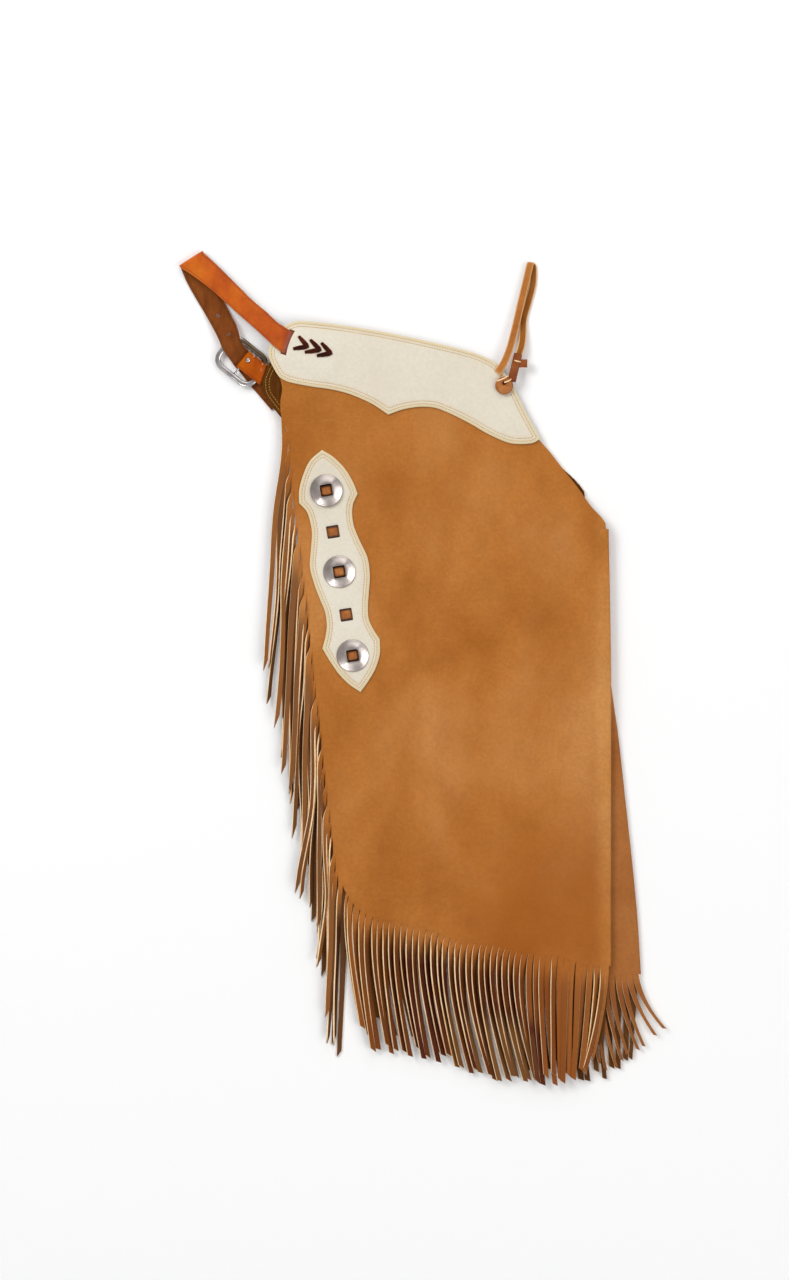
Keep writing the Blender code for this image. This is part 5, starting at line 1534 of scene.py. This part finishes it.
def buckle():
    points = []
    faces = []
    path = []
    steps = 10
    for turn in range(4):
        sign_along = (1, -1, -1, 1)[turn]
        sign_across = (1, 1, -1, -1)[turn]
        for k in range(steps + 1):
            angle = math.radians(90 * (turn + k / steps))
            along = sign_along * (BUCKLE_HALF_LENGTH - BUCKLE_CORNER) + BUCKLE_CORNER * math.cos(angle)
            across = sign_across * (BUCKLE_HALF_WIDTH - BUCKLE_CORNER) + BUCKLE_CORNER * math.sin(angle)
            path.append(buckle_point(along, across, BUCKLE_HEIGHT))
    tube(path, *BUCKLE_ROD, 16, True, faces, points)
    across = Vector((*BUCKLE_ACROSS, 0))
    along = Vector((*BUCKLE_ALONG, 0))
    middle = Vector((*BUCKLE_MIDDLE, 0))
    # The frame's side by the leather is painted olive-brown: a painted reflection of the leather
    painted_reflection = [
        0.9 * fade((p - middle).dot(across), (8.0, 15.0)) * fade((p - middle).dot(along), (-22.0, -12.0))
        for p in points
    ]
    piece = new_object("buckle_frame_steel", points, faces, [BUCKLE_STEEL], shades=painted_reflection)
    finish_piece(piece, "steel", "buckle_frame")
    points = []
    faces = []
    reach = BUCKLE_HALF_WIDTH - BUCKLE_ROD[0]
    bar = [buckle_point(BUCKLE_BAR_ALONG, side * reach / 4, BUCKLE_HEIGHT) for side in range(-4, 5)]
    tube(bar, BUCKLE_BAR_RADIUS, BUCKLE_BAR_RADIUS, 16, False, faces, points)
    piece = new_object("buckle_bar_steel", points, faces, [BUCKLE_STEEL])
    finish_piece(piece, "steel", "buckle_bar")


def dome(points, faces, middle, radius, rise):
    sides = 24
    rings = ((0.0, 1.0), (0.3, 0.98), (0.7, 0.78), (0.92, 0.45))
    first = len(points)
    for height, share in rings:
        for k in range(sides):
            angle = 2 * math.pi * k / sides
            points.append(middle + Vector((radius * share * math.cos(angle), radius * share * math.sin(angle), rise * height)))
    points.append(middle + Vector((0, 0, rise)))
    faces.append(tuple(first + k for k in reversed(range(sides))))
    for r in range(len(rings) - 1):
        for k in range(sides):
            a = first + r * sides + k
            b = first + r * sides + (k + 1) % sides
            faces.append((a, b, b + sides, a + sides))
    last = first + (len(rings) - 1) * sides
    for k in range(sides):
        faces.append((last + k, last + (k + 1) % sides, len(points) - 1))


buckle()
billet_top = BUCKLE_HEIGHT + BUCKLE_BAR_RADIUS + GAP + STRAP_WALL + 0.15
points = []
faces = []
dome(points, faces, Vector((*RIVET, billet_top)), 2.8, 1.6)
finish_piece(new_object("rivet_steel", points, faces, [BUCKLE_STEEL]), "steel", "rivet")
points = []
faces = []
for x, y in TACKS:
    dome(points, faces, Vector((x, y, billet_top - 0.1)), 1.6, 0.8)
finish_piece(new_object("billet_tacks", points, faces, [COPPER]), "steel")

# Gold stitches along the waist end of the far leg, through its flesh side
far_edge = [tuple(smooth_at(FAR_SIDE, mix(0.0, 0.2, k / 60))) for k in range(61)]
points = []
faces = []
for distance in (4.0, 8.0):
    line = []
    for i in range(1, 60):
        forward = (Vector(far_edge[i + 1]) - Vector(far_edge[i - 1])).normalized()
        line.append(Vector(far_edge[i]) + Vector((-forward.y, forward.x)) * distance)
    add_stitches(
        points, faces, walk([tuple(p) for p in line], 3.2, False),
        lambda x, y: far_leg_bottom(x, y) + WALL, 3.2, 2.6, 1.0, 0.5,
    )
finish_piece(new_object("far_leg_stitches", points, faces, [GOLD_THREAD]), "tan_leather")


# Waist lace

LACE_COLUMNS = (0.0, 0.1, 0.16, 0.3, 0.5, 0.7, 0.84, 0.9, 1.0)
lace_rows = list(LACE_FRONT + LACE_FOLD + LACE_BACK)
lace = strap("lace_leather", lace_rows, 5, LACE_COLUMNS, LACE_WALL, [LACE_FLESH, LACE_GRAIN, CUT_EDGE], 0.1, 9.0, rim=0.12)
finish_piece(lace, "tan_leather", "lace")
points = []
faces = []
lower = Vector(KEEPER_ENDS[0])
upper = Vector(KEEPER_ENDS[1])
tube([lower.lerp(upper, k / 10) for k in range(11)], *KEEPER_HALF, 20, False, faces, points)
finish_piece(new_object("lace_keeper_leather", points, faces, [KEEPER_GRAIN]), "tan_leather", "lace_keeper")
points = []
faces = []
ring = []
for k in range(40):
    angle = 2 * math.pi * k / 40
    ring.append(Vector(KNOT_MIDDLE) + Vector((math.cos(angle), math.sin(angle), 0)) * KNOT_RADIUS)
tube(ring, *KNOT_HALF, 14, True, faces, points)
# The hole lies near the top, and the turn below it stands higher
for p in points:
    away = (Vector(p) - Vector(KNOT_MIDDLE)).length / (KNOT_RADIUS + KNOT_HALF[0])
    p.z += 0.9 * fade(KNOT_MIDDLE[1] - p.y, (0.0, 7.0)) * fade(p.z, (KNOT_MIDDLE[2] - 1.0, KNOT_MIDDLE[2] + 2.0))
    p.y += KNOT_HOLE_UP * (1.0 - min(away, 1.0))
finish_piece(new_object("lace_knot_leather", points, faces, [KNOT_GRAIN]), "tan_leather", "lace_knot")
# A dark disc in the knot's hole: painted shade
points = []
faces = []
dome(points, faces, Vector((KNOT_MIDDLE[0], KNOT_MIDDLE[1] + 2.2, KNOT_MIDDLE[2] + 0.2)), 2.5, 0.3)
finish_piece(new_object("lace_knot_hole_painted_shade", points, faces, [LACING]), "tan_leather")
points = []
faces = []
for start, end, arch in KNOT_BANDS:
    start = Vector(start)
    end = Vector(end)
    bow = Vector((0.2, -0.6, arch))
    path = [start.lerp(end, k / 8) + bow * math.sin(math.pi * k / 8) for k in range(9)]
    tube(path, 0.8, 0.5, 10, False, faces, points)
finish_piece(new_object("lace_knot_bands", points, faces, [CUT_EDGE]), "tan_leather")
grid = []
for k in range(5):
    y = STUB_MIDDLE[1] + STUB_HALF[1] * (1 - k / 2)
    grid.append([Vector((STUB_MIDDLE[0] + STUB_HALF[0] * s, y, STUB_MIDDLE[2])) for s in (-1, -0.5, 0, 0.5, 1)])
stub = sheet("lace_stub_leather", grid, 2 * STUB_HALF[2] * 0.6, [KEEPER_GRAIN, FLESH, CUT_EDGE])
finish_piece(stub, "tan_leather", "lace_stub")


# Floor, light and camera


def floor():
    bpy.ops.mesh.primitive_plane_add(size=12, location=(0, 0, -0.0002))
    plane = bpy.context.active_object
    plane.name = "floor"
    material, nodes, links, shader = new_material("floor_paper")
    shader.inputs["Base Color"].default_value = (0.97, 0.97, 0.97, 1)
    shader.inputs["Roughness"].default_value = 0.9
    shader.inputs["Specular IOR Level"].default_value = 0.1
    plane.data.materials.append(material)


def lamp(name, place, target, size, power, colour=(1, 1, 1)):
    data = bpy.data.lights.new(name, "AREA")
    data.shape = "SQUARE"
    data.size = size
    data.energy = power
    data.color = colour
    made = bpy.data.objects.new(name, data)
    made.location = place
    made.rotation_euler = (Vector(target) - Vector(place)).to_track_quat("-Z", "Y").to_euler()
    bpy.context.scene.collection.objects.link(made)
    return made


floor()
key = lamp("key", (-3.6, 2.6, 4.2), (0, 0, 0), 2.6, 186)
key.visible_glossy = False
lamp("fill", (3.4, -1.6, 4.0), (0, -0.2, 0), 3.0, 85)
lamp("top", (0.3, 3.6, 2.8), (0, 0.1, 0), 2.6, 42)
for name, place in (("glint_low", (-1.1, -1.5, 2.2)), ("glint_side", (2.0, 0.2, 2.2))):
    glint = lamp(name, place, (-0.1, 0.1, 0), 0.9, 20)
    glint.visible_diffuse = False
world = bpy.data.worlds.new("studio")
world.use_nodes = True
world.node_tree.nodes["Background"].inputs["Color"].default_value = (1, 1, 1, 1)
world.node_tree.nodes["Background"].inputs["Strength"].default_value = 0.41
bpy.context.scene.world = world

camera_data = bpy.data.cameras.new("camera")
camera_data.sensor_width = 36.0
camera_data.lens = 36.0 * CAMERA_HEIGHT / FRAME_HEIGHT
camera = bpy.data.objects.new("camera", camera_data)
camera.location = (Vector((CAMERA_X, CAMERA_Y, CAMERA_HEIGHT + 8.0)) + SHIFT) * MM
bpy.context.scene.collection.objects.link(camera)
bpy.context.scene.camera = camera
bpy.context.scene.view_settings.view_transform = "Standard"
